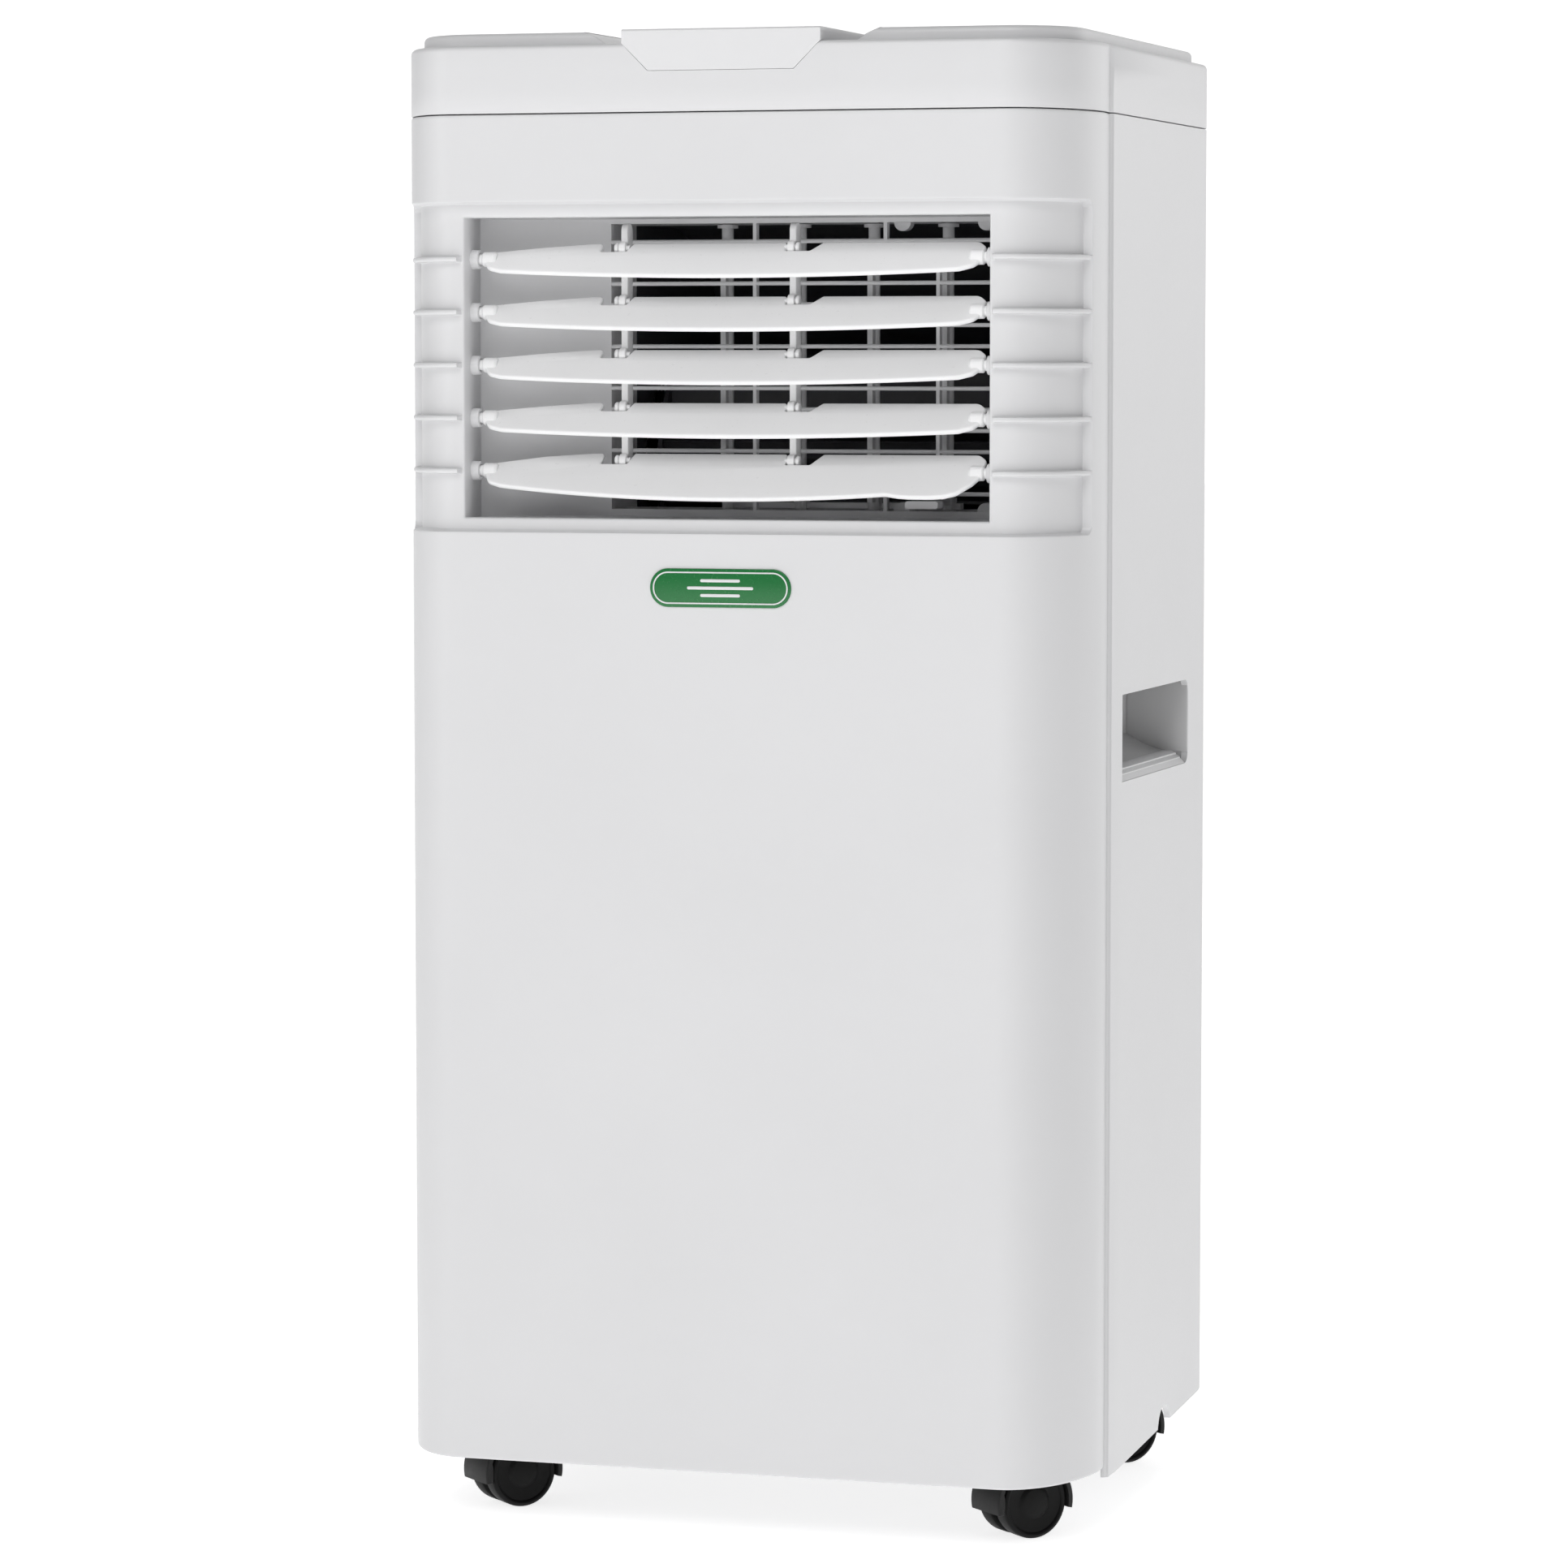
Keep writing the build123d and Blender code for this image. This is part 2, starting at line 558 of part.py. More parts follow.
def link_bars():
    """Two upright bars that make the louvers tilt together."""
    tilt = math.radians(LOUVER_TILT)
    peg_y = PIVOT_Y + PEG_RADIUS_ARM * math.cos(tilt)
    rise = PEG_RADIUS_ARM * math.sin(tilt)
    bars = []
    for x in LINK_X:
        low = LOUVER_Z[-1] + rise - 4
        high = LOUVER_Z[0] + rise + 11
        bar = block((x - 1.5, x + 1.5), (peg_y + 1.0, peg_y + 8.5), (low, high))
        bar = fillet(bar.edges().filter_by(Axis.X), 2.0)
        for z in LOUVER_Z:
            bar += rod(2.5, (x - 1.5, peg_y, z + rise), 3.0, "X")
        for z in LOUVER_Z:
            bar -= rod(PEG_R + 0.06, (x - 3, peg_y, z + rise), 6, "X")
        bars.append(bar)
    return group(bars)


# ---------------------------------------------------------------- chassis
def caster_places():
    """Name, stem position and heading of each caster."""
    return [("front_left", -CASTER_X, CASTER_FRONT_Y, 47.0),
            ("front_right", CASTER_X, CASTER_FRONT_Y, 47.0),
            ("rear_right", CASTER_X, CASTER_REAR_Y, 47.0),
            ("rear_left", -CASTER_X, CASTER_REAR_Y, 140.0)]


def base_pan():
    pan = prism(plan(INNER), PAN_Z, PAN_Z + 3)
    pan += prism(plan(INNER) - plan(INNER + 2), PAN_Z, PAN_Z + 15)
    for _, x, y, _ in caster_places():
        pan += rod(11.0, (x, y, PAN_Z), 19.0)
        pan -= rod(SWIVEL_R + PIN_FIT, (x, y, PAN_Z - 1), 18.5)
    pan += tube(7.0, 5.0, (DRAIN_X, BACK - 22, DRAIN_Z), 19.5, "Y")
    pan += block((DRAIN_X - 7, DRAIN_X + 7), (BACK - 22, BACK - 12), (PAN_Z, DRAIN_Z - 6))
    pan -= rod(5.0, (DRAIN_X, BACK - 18, DRAIN_Z), 20, "Y")
    for x, z in screw_places()[0::3]:
        pan -= rod(SCREW_R, (x, BACK - 20, z), 30, "Y")
    return solid(pan)


def drain_plug():
    plug = rod(4.95, (DRAIN_X, BACK - 14, DRAIN_Z), 11.5, "Y")
    plug += rod(8.5, (DRAIN_X, BACK - 2.5, DRAIN_Z), 2.4, "Y")
    return solid(plug)


def mid_deck():
    """Drip tray between the cold and the hot compartments."""
    deck = prism(plan(INNER), DECK_Z, DECK_Z + 3)
    deck += prism(plan(INNER) - plan(INNER + 2), DECK_Z, DECK_Z + 12)
    deck -= block((-135, 135), (BACK - 26, BACK - 14), (DECK_Z + 1, DECK_Z + 2))
    for side in (-1, 1):
        x = sorted((side * (HALF_W - WALL - HANDLE_DEEP - 4), side * HALF_W))
        deck -= block(x, (HANDLE_Y[0] - 4, HANDLE_Y[1] + 4), (DECK_Z - 1, DECK_Z + 20))
    for x, y, _ in pipe_places():
        deck -= rod(6.5, (x, y, DECK_Z - 1), 6)
    return solid(deck)


# ---------------------------------------------------------------- refrigeration
COIL_Y = (BACK - 31.0, BACK - 11.0)
COMPRESSOR_X = -86.0
COMPRESSOR_Y = -40.0
FOOT_Z = 60.0


def pipe_places():
    """Where the pipes pass the mid deck: x, y and outer radius."""
    return [(-133.0, 104.0, 4.8), (-133.0, 90.0, 3.2)]


def coil(z0, z1):
    """A finned block with return bends at both ends."""
    fins = block((-118, 118), COIL_Y, (z0, z1))
    tubes = []
    rows = int((z1 - z0 - 20) // 25)
    mid = (COIL_Y[0] + COIL_Y[1]) / 2
    for row in range(rows):
        for side in (-1, 1):
            z = z0 + 16 + row * 25 + (12.5 if side > 0 else 0)
            bend = Pos(side * 118, mid, z) * Rot(90, 0, 0) * Torus(6.25, 3.5)
            tubes.append(bend & block(sorted((side * 118, side * 130)), COIL_Y, (z - 12, z + 12)))
    return group([fins] + tubes)


def compressor():
    body = rod(52, (COMPRESSOR_X, COMPRESSOR_Y, FOOT_Z), 162)
    body = fillet(body.edges().filter_by(GeomType.CIRCLE), 16)
    body += rod(64, (COMPRESSOR_X, COMPRESSOR_Y, FOOT_Z), 3)
    body += rod(14, (COMPRESSOR_X + 6, COMPRESSOR_Y + 8, 218), 14)
    for x, y in mount_places():
        body -= rod(6.0, (x, y, FOOT_Z - 5), 12)
    return solid(body)


def mount_places():
    places = []
    for angle in (90, 210, 330):
        a = math.radians(angle)
        places.append((COMPRESSOR_X + 55 * math.cos(a), COMPRESSOR_Y + 55 * math.sin(a)))
    return places


def compressor_mounts():
    height = FOOT_Z - PAN_Z - 3
    return group([tube(8.0, 3.0, (x, y, PAN_Z + 3), height) + tube(5.9, 3.0, (x, y, FOOT_Z), 5)
                  for x, y in mount_places()])


def pipe_run(points, radius, bend):
    path = FilletPolyline(*points, radius=bend)
    start = Plane(origin=path @ 0, z_dir=path % 0)
    return sweep(start * Circle(radius), path=path)


def refrigerant_pipes():
    """Discharge and suction pipes, and the suction accumulator."""
    top = 232.0
    cx = COMPRESSOR_X
    cy = COMPRESSOR_Y
    suction_x, suction_y, suction_r = pipe_places()[0]
    discharge_x, discharge_y, discharge_r = pipe_places()[1]
    accumulator = rod(16, (-128, 34, 90), 110)
    accumulator = fillet(accumulator.edges().filter_by(GeomType.CIRCLE), 7)
    suction = pipe_run([(-128, 34, 199), (-128, 34, 258), (suction_x, suction_y, 258),
                        (suction_x, suction_y, 420)], suction_r, 12)
    discharge = pipe_run([(cx + 6, cy + 8, top), (cx + 6, cy + 8, 246), (discharge_x, cy + 8, 246),
                          (discharge_x, discharge_y, 246), (discharge_x, discharge_y, 400)],
                         discharge_r, 10)
    return group([accumulator + suction, discharge])


# ---------------------------------------------------------------- blowers
def spiral(centre, r0, growth, start, sweep_deg, step=35.0):
    """Arcs along a spiral whose radius grows by growth mm per degree."""
    def point(a):
        r = r0 + growth * (a - start)
        return (centre[0] + r * math.cos(math.radians(a)), centre[1] + r * math.sin(math.radians(a)))

    arcs = []
    count = math.ceil(sweep_deg / step)
    for i in range(count):
        a0 = start + sweep_deg * i / count
        a1 = start + sweep_deg * (i + 1) / count
        arcs.append(ThreePointArc(point(a0), point((a0 + a1) / 2), point(a1)))
    return arcs


COLD_Y = 10.0
COLD_Z = 470.0
COLD_WHEEL_R = 50.0


def cold_outline(grow):
    arcs = spiral((COLD_Y, COLD_Z), 56.0 + grow, 0.206, 205, 245)
    top = GRILLE_Z[1] + grow
    low = GRILLE_Z[0] - grow
    lines = Polyline(arcs[-1] @ 1, (DUCT_BACK_Y, top), (DUCT_BACK_Y, low), arcs[0] @ 0)
    edge = Curve() + arcs + lines
    return make_face(edge)


def cold_scroll():
    """Housing of the room-air blower; its outlet meets the duct."""
    outer = across(cold_outline(FRAME_WALL), GRILLE_LEFT - FRAME_WALL, OUTLET_HALF_W + FRAME_WALL)
    inner = across(cold_outline(0), GRILLE_LEFT, OUTLET_HALF_W)
    mouth = block((GRILLE_LEFT, OUTLET_HALF_W), (DUCT_BACK_Y - 5, DUCT_BACK_Y + 5), GRILLE_Z)
    shell = outer - inner - mouth
    shell -= rod(42, (GRILLE_LEFT - 10, COLD_Y, COLD_Z), 220, "X")
    return solid(shell)


def blower_wheel(radius, width, hub_r, shaft_len):
    """A squirrel-cage wheel along +Z from 0, with its shaft running down."""
    wheel = rod(radius, (0, 0, 0), 2.0) + tube(radius, radius - 9, (0, 0, width - 2), 2.0)
    blade = Pos(radius - 5, 0, width / 2) * Rot(0, 0, 40) * Box(1.4, 8.5, width)
    for i in range(BLADES):
        wheel += Rot(0, 0, 360 / BLADES * i) * blade
    wheel += rod(hub_r, (0, 0, 0), width * 0.4)
    wheel += rod(SHAFT_R, (0, 0, -shaft_len), shaft_len + 10)
    return solid(wheel)


def motor(radius, length):
    """Motor can along +Z from 0 with a through bore for the shaft."""
    can = rod(radius, (0, 0, 0), length)
    can = fillet(can.edges().filter_by(GeomType.CIRCLE), 4)
    can += rod(radius * 0.35, (0, 0, length - 1), 5)
    return can - rod(SHAFT_R + PIN_FIT, (0, 0, -1), length + 10)


def cold_wheel():
    wheel = blower_wheel(COLD_WHEEL_R, 165, 12, 70)
    return solid(Pos(GRILLE_LEFT + 8, COLD_Y, COLD_Z) * Rot(0, 90, 0) * wheel)


def cold_motor():
    x0 = -131.0
    can = Pos(x0, COLD_Y, COLD_Z) * Rot(0, 90, 0) * motor(36, 46)
    stand = block((x0 + 8, x0 + 32), (COLD_Y - 28, COLD_Y + 28), (DECK_Z + 3, COLD_Z))
    stand -= rod(35.9, (x0 - 1, COLD_Y, COLD_Z), 60, "X")
    stand -= block((x0 + 10, x0 + 34), (COLD_Y - 40, COLD_Y + 40), (DECK_Z + 6, COLD_Z - 45))
    return solid(can + stand)


HOT_X = 50.0
HOT_Z = 138.0
HOT_Y = (14.0, 88.0)
HOT_WHEEL_R = 58.0
PLENUM_Z = (229.0, 362.0)


def hot_outline(grow):
    """Scroll drawn in (X, Z), opening upwards on its right-hand side."""
    arcs = spiral((HOT_X, HOT_Z), 64.0 + grow, 0.062, 150, 210)
    right = (arcs[-1] @ 1).X
    lines = Polyline(arcs[-1] @ 1, (right, PLENUM_Z[0] + grow), ((arcs[0] @ 0).X, PLENUM_Z[0] + grow),
                     arcs[0] @ 0)
    return make_face(Curve() + arcs + lines)


def hot_scroll():
    """Housing of the condenser blower, with the plenum behind the hose socket."""
    def body(grow, y0, y1):
        face = hot_outline(grow)
        low = Plane.XZ.offset(-y1) * extrude(face, y1 - y0)
        box = block((EXHAUST_X - 66 - grow, EXHAUST_X + 69 + grow), (y0, BACK - 36 + grow),
                    (PLENUM_Z[0] - grow, PLENUM_Z[1] + grow))
        return low + box

    outer = body(2.0, HOT_Y[0] - 2, HOT_Y[1] + 2)
    inner = body(0.0, HOT_Y[0], HOT_Y[1])
    shell = outer - inner
    shell -= rod(46, (HOT_X, HOT_Y[1] - 5, HOT_Z), 20, "Y")
    shell -= rod(EXHAUST_R + 1.5, (EXHAUST_X, BACK - 60, EXHAUST_Z), 60, "Y")
    shell -= rod(12, (HOT_X, HOT_Y[0] - 10, HOT_Z), 15, "Y")
    return solid(shell)


def hot_wheel():
    wheel = blower_wheel(HOT_WHEEL_R, 58, 12, 60)
    return solid(Pos(HOT_X, HOT_Y[0] + 8, HOT_Z) * Rot(-90, 0, 0) * wheel)


def hot_motor():
    y0 = HOT_Y[0] - 66
    can = Pos(HOT_X, y0, HOT_Z) * Rot(-90, 0, 0) * motor(34, 44)
    for angle in (30, 150, 270):
        a = math.radians(angle)
        post = (HOT_X + 22 * math.cos(a), y0 + 40, HOT_Z + 22 * math.sin(a))
        can += rod(4, post, 24, "Y")
    return solid(can)


def exhaust_socket():
    """Ring that takes the exhaust hose's round adaptor."""
    ring = tube(EXHAUST_R + 3.8, EXHAUST_R, (EXHAUST_X, BACK - 34, EXHAUST_Z), 34, "Y")
    ring += tube(EXHAUST_R + 7, EXHAUST_R, (EXHAUST_X, BACK - 34, EXHAUST_Z), 3, "Y")
    return solid(ring)


# ---------------------------------------------------------------- intakes
def intake_grille(z0, z1):
    """Lift-off panel of level slats, flush in the back of the casing."""
    gap = 0.3
    w = WINDOW_HALF_W - gap
    y = (BACK - 5.7, BACK)
    panel = block((-w, w), y, (z0 + gap, z1 - gap))
    panel -= block((-w + WINDOW_FRAME, w - WINDOW_FRAME), (y[0] - 1, y[1] + 1),
                   (z0 + WINDOW_FRAME, z1 - WINDOW_FRAME))
    pitch = 8.0
    count = int((z1 - z0 - 2 * WINDOW_FRAME) // pitch)
    for i in range(1, count + 1):
        z = z0 + WINDOW_FRAME + i * pitch - pitch / 2 + 1
        slat = Pos(0, (y[0] + y[1]) / 2 + 0.6, z) * Rot(25, 0, 0) * Box(2 * w - 8, 4.2, 1.6)
        panel += slat
    for x in (-w / 3, w / 3):
        panel += block((x - 1.5, x + 1.5), (y[0] + 0.2, y[1] - 1.2), (z0 + 2, z1 - 2))
    finger = block((-16, 16), (y[1] - 3.2, y[1] + 1), (z1 - 5.4, z1 + 1))
    return solid(panel - finger)


def filter_screen(z0, z1):
    """Thin framed screen carried on the inside of an intake panel."""
    w = WINDOW_HALF_W - 5
    y = (BACK - 8.7, BACK - 6.1)
    screen = block((-w, w), y, (z0 + 5, z1 - 5))
    cell_w = (2 * w - 8) / 4
    for i in range(4):
        x0 = -w + 3 + i * (cell_w + 0.5)
        hollow = block((x0, x0 + cell_w - 1), (y[0] - 1, y[1] - 0.8), (z0 + 8, z1 - 8))
        screen -= hollow
    return solid(screen)


# ---------------------------------------------------------------- electrics
def electrical_box():
    x = (-123.0, -40.0)
    y = (-96.0, 20.0)
    z = (272.0, 362.0)
    box = block(x, y, z)
    box -= block((x[0] + 1.5, x[1] - 1.5), (y[0] + 1.5, y[1] - 1.5), (z[0] + 1.5, z[1] + 1))
    return solid(box)


def control_board():
    board = block((-119, -46), (-84, 8), (280.0, 281.6))
    parts = block((-114, -92), (-78, -54), (281.6, 304)) + block((-84, -60), (-78, -40), (281.6, 292))
    parts += rod(13, (-70, -12, 281.6), 40)
    parts += block((-114, -96), (-40, -4), (281.6, 289))
    for x in (-117, -48):
        for y in (-82, 6):
            board += rod(2.0, (x, y, 273.5), 7)
    return solid(board + parts)


def cord_gland():
    """Bush where the mains lead enters; the lead itself is not part of this model."""
    bush = tube(6.9, 4.2, (CORD_X, BACK - 10, CORD_Z), 9.5, "Y")
    bush += tube(9.5, 4.2, (CORD_X, BACK - 8, CORD_Z), 5, "Y")
    return solid(bush)


# ---------------------------------------------------------------- casters
def place(shape, spot):
    _, x, y, heading = spot
    return Pos(x, y, 0) * Rot(0, 0, heading) * shape


def caster_hood(spot):
    """Fender over both wheels, with a centre web and a swivel stem."""
    shell = rod(HOOD_R[1], (TRAIL, -HOOD_HALF_W, WHEEL_R), 2 * HOOD_HALF_W, "Y")
    shell -= rod(HOOD_R[0], (TRAIL, -HOOD_HALF_W - 1, WHEEL_R), 2 * HOOD_HALF_W + 2, "Y")
    shell += rod(HOOD_R[1] - 0.6, (TRAIL, -WEB_HALF_W, WHEEL_R), 2 * WEB_HALF_W, "Y")
    shell -= block((-40, 40), (-20, 20), (-10, 12.0))
    shell += rod(8.5, (TRAIL, -WEB_HALF_W, WHEEL_R), 2 * WEB_HALF_W, "Y")
    shell &= block((-40, 40), (-20, 20), (-10, 35.2))
    shell += rod(9.5, (0, 0, 33.0), 5.7)
    shell += rod(SWIVEL_R, (0, 0, 33.0), 23.0)
    shell -= rod(AXLE_R, (TRAIL, -5, WHEEL_R), 10, "Y")
    return solid(place(shell, spot))


def caster_axle(spot):
    return solid(place(rod(AXLE_R, (TRAIL, -9.5, WHEEL_R), 19, "Y"), spot))


def caster_wheels(spot):
    wheels = []
    for side in (-1, 1):
        y0 = min(side * 2.4, side * 11.2)
        wheel = rod(WHEEL_R, (TRAIL, y0, WHEEL_R), 8.8, "Y")
        wheel = fillet(wheel.edges().filter_by(GeomType.CIRCLE), 1.6)
        bore0 = min(side * 2.0, side * 9.6)
        wheel -= rod(AXLE_R + PIN_FIT, (TRAIL, bore0, WHEEL_R), 7.6, "Y")
        wheels.append(place(wheel, spot))
    return group(wheels)


# ---------------------------------------------------------------- assembly
def build():
    keep("front_panel", front_panel())
    keep("badge", badge())
    keep("side_panels", group([side_panel(-1), side_panel(1)]))
    keep("back_panel", back_panel())
    keep("case_screws", case_screws())
    keep("handle_cups", group([handle_cup(-1), handle_cup(1)]))
    keep("top_cover", top_cover())
    keep("control_console", control_console())
    keep("display_window", display_window())
    for i, name in enumerate(BUTTON_NAMES):
        keep(name, push_button(i))

    keep("outlet_duct", outlet_duct())
    keep("outlet_grille", outlet_grille())
    for i in range(VANE_COUNT):
        keep(f"vane_{i + 1}", vane(i))
    keep("vane_link", vane_link())
    for i in range(LOUVER_COUNT):
        keep(f"louver_{i + 1}", louver(i))
    keep("link_bars", link_bars())

    keep("base_pan", base_pan())
    keep("mid_deck", mid_deck())
    keep("drain_plug", drain_plug())
    keep("evaporator_coil", coil(UPPER_WINDOW_Z[0], UPPER_WINDOW_Z[1]))
    keep("condenser_coil", coil(66.0, 220.0))
    keep("compressor", compressor())
    keep("compressor_mounts", compressor_mounts())
    keep("refrigerant_pipes", refrigerant_pipes())
    keep("cold_scroll", cold_scroll())
    keep("cold_wheel", cold_wheel())
    keep("cold_motor", cold_motor())
    keep("hot_scroll", hot_scroll())
    keep("hot_wheel", hot_wheel())
    keep("hot_motor", hot_motor())
    keep("exhaust_socket", exhaust_socket())

    for level, (z0, z1) in (("upper", UPPER_WINDOW_Z), ("lower", LOWER_WINDOW_Z)):
        keep(f"{level}_grille", intake_grille(z0, z1))
    keep("upper_filter", filter_screen(*UPPER_WINDOW_Z))
    keep("electrical_box", electrical_box())
    keep("control_board", control_board())
    keep("cord_gland", cord_gland())
    for spot in caster_places():
        keep(f"{spot[0]}_hood", caster_hood(spot))
        keep(f"{spot[0]}_axle", caster_axle(spot))
        keep(f"{spot[0]}_wheels", caster_wheels(spot))


build()
os.makedirs("parts", exist_ok=True)
for node, shape in PARTS.items():
    export_step(shape, f"parts/{node}.step")
print(len(PARTS), "sub-parts written")
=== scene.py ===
import json
import math

import bmesh
import bpy
import numpy as np
from mathutils import Matrix, Vector


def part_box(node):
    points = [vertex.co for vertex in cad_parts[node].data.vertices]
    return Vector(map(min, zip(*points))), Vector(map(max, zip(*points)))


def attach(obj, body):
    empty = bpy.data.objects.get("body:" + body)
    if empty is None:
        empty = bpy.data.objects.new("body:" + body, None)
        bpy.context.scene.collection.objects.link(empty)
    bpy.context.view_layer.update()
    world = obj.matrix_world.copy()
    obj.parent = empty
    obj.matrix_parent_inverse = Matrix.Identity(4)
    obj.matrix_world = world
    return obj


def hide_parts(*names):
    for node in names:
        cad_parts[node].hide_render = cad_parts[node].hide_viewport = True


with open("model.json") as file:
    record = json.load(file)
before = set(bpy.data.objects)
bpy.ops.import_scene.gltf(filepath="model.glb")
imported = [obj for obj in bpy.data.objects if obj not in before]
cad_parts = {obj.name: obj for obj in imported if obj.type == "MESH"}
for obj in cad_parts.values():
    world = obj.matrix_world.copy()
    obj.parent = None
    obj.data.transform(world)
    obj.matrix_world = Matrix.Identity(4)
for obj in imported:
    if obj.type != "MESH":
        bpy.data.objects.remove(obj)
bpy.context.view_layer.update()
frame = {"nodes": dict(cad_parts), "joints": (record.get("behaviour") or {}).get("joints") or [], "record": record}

MM = 0.001
TO_X = Matrix(((0, 0, 1), (1, 0, 0), (0, 1, 0))).to_4x4()      # local x, y, z become Y, Z, X
STAND = Matrix.Rotation(math.radians(90), 4, "X")              # local x, y, z become X, Z, -Y

CAMERA_AT = (0.739, -2.464, 0.518)
CAMERA_DOWN = 4.33             # degrees below level
CAMERA_TURN = 16.96            # degrees about +Z
CAMERA_LENS = 129.6
SENSOR_WIDTH = 36.0

FLOOR_HALF = 20.0              # metres
FLOOR_GLOW = 0.78
SKY_BAND = (0.55, 0.85)        # where the studio's pale rear wall fades in
SKY_STRENGTH = (0.16, 1.15)


# ------------------------------------------------------------------ camera
def make_camera():
    data = bpy.data.cameras.new("camera")
    data.sensor_width = SENSOR_WIDTH
    data.lens = CAMERA_LENS
    data.clip_start = 0.05
    data.clip_end = 60.0
    cam = bpy.data.objects.new("camera", data)
    cam.location = CAMERA_AT
    cam.rotation_euler = (math.radians(90.0 - CAMERA_DOWN), 0.0, math.radians(CAMERA_TURN))
    bpy.context.scene.collection.objects.link(cam)
    bpy.context.scene.camera = cam


# ------------------------------------------------------------------ materials
def node_tree(name):
    mat = bpy.data.materials.new(name)
    mat.use_nodes = True
    tree = mat.node_tree
    shader = tree.nodes["Principled BSDF"]
    coords = tree.nodes.new("ShaderNodeTexCoord")
    return mat, tree, shader, coords.outputs["Object"]


def noise(tree, vector, scale, detail=3.0):
    node = tree.nodes.new("ShaderNodeTexNoise")
    node.inputs["Scale"].default_value = scale
    node.inputs["Detail"].default_value = detail
    node.inputs["Roughness"].default_value = 0.55
    tree.links.new(vector, node.inputs["Vector"])
    return node.outputs["Fac"]


def remap(tree, value, low, high, to_low, to_high):
    node = tree.nodes.new("ShaderNodeMapRange")
    node.inputs["From Min"].default_value = low
    node.inputs["From Max"].default_value = high
    node.inputs["To Min"].default_value = to_low
    node.inputs["To Max"].default_value = to_high
    tree.links.new(value, node.inputs["Value"])
    return node.outputs["Result"]


def ramp(tree, value, stops):
    node = tree.nodes.new("ShaderNodeValToRGB")
    bar = node.color_ramp
    while len(bar.elements) < len(stops):
        bar.elements.new(0.5)
    for element, (at, colour) in zip(bar.elements, stops):
        element.position = at
        element.color = (*colour, 1.0)
    tree.links.new(value, node.inputs["Fac"])
    return node.outputs["Color"]


def bumps(tree, shader, height, distance):
    node = tree.nodes.new("ShaderNodeBump")
    node.inputs["Strength"].default_value = 1.0
    node.inputs["Distance"].default_value = distance
    tree.links.new(height, node.inputs["Height"])
    tree.links.new(node.outputs["Normal"], shader.inputs["Normal"])


def moulded(name, colour, rough, vary=0.03, grain=2600.0, depth=0.000012, specular=0.5,
            coat=0.0):
    """Moulded plastic: faint clouding, fine grain in the gloss and in the surface."""
    mat, tree, shader, at = node_tree(name)
    cloud = noise(tree, at, 9.0, 4.0)
    light = tuple(min(1.0, c * (1 + vary)) for c in colour)
    dark = tuple(c * (1 - vary) for c in colour)
    tree.links.new(ramp(tree, cloud, [(0.3, dark), (0.7, light)]), shader.inputs["Base Color"])
    gloss = noise(tree, at, grain * 0.25, 2.0)
    tree.links.new(remap(tree, gloss, 0.2, 0.8, rough - 0.04, rough + 0.05),
                   shader.inputs["Roughness"])
    bumps(tree, shader, noise(tree, at, grain, 2.0), depth)
    shader.inputs["Specular IOR Level"].default_value = specular
    if coat:
        shader.inputs["Coat Weight"].default_value = coat
        shader.inputs["Coat Roughness"].default_value = 0.08
    return mat


def metal(name, colour, rough):
    """Bare metal with fine upright draw marks."""
    mat, tree, shader, at = node_tree(name)
    mapping = tree.nodes.new("ShaderNodeMapping")
    mapping.inputs["Scale"].default_value = (1.0, 1.0, 0.04)
    tree.links.new(at, mapping.inputs["Vector"])
    streaks = noise(tree, mapping.outputs["Vector"], 900.0, 4.0)
    dark = tuple(c * 0.86 for c in colour)
    tree.links.new(ramp(tree, streaks, [(0.25, dark), (0.75, colour)]), shader.inputs["Base Color"])
    tree.links.new(remap(tree, streaks, 0.2, 0.8, rough - 0.08, rough + 0.1),
                   shader.inputs["Roughness"])
    bumps(tree, shader, streaks, 0.000006)
    shader.inputs["Metallic"].default_value = 1.0
    return mat


def striped(name, colour, rough, axis, pitch, depth, metallic=0.0):
    """Fine parallel fins or threads along one axis; the darker bands between them are painted shade in the gaps.
    """
    mat, tree, shader, at = node_tree(name)
    wave = tree.nodes.new("ShaderNodeTexWave")
    wave.bands_direction = axis
    wave.wave_profile = "SIN"
    wave.inputs["Scale"].default_value = math.pi / (10.0 * pitch)
    wave.inputs["Distortion"].default_value = 0.05
    tree.links.new(at, wave.inputs["Vector"])
    # dark: painted shade in the gaps between fins or strands, at about a third of the colour.
    dark = tuple(c * 0.35 for c in colour)
    tree.links.new(ramp(tree, wave.outputs["Fac"], [(0.2, dark), (0.8, colour)]),
                   shader.inputs["Base Color"])
    tree.links.new(remap(tree, noise(tree, at, 400.0), 0.2, 0.8, rough - 0.05, rough + 0.1),
                   shader.inputs["Roughness"])
    bumps(tree, shader, wave.outputs["Fac"], depth)
    shader.inputs["Metallic"].default_value = metallic
    return mat


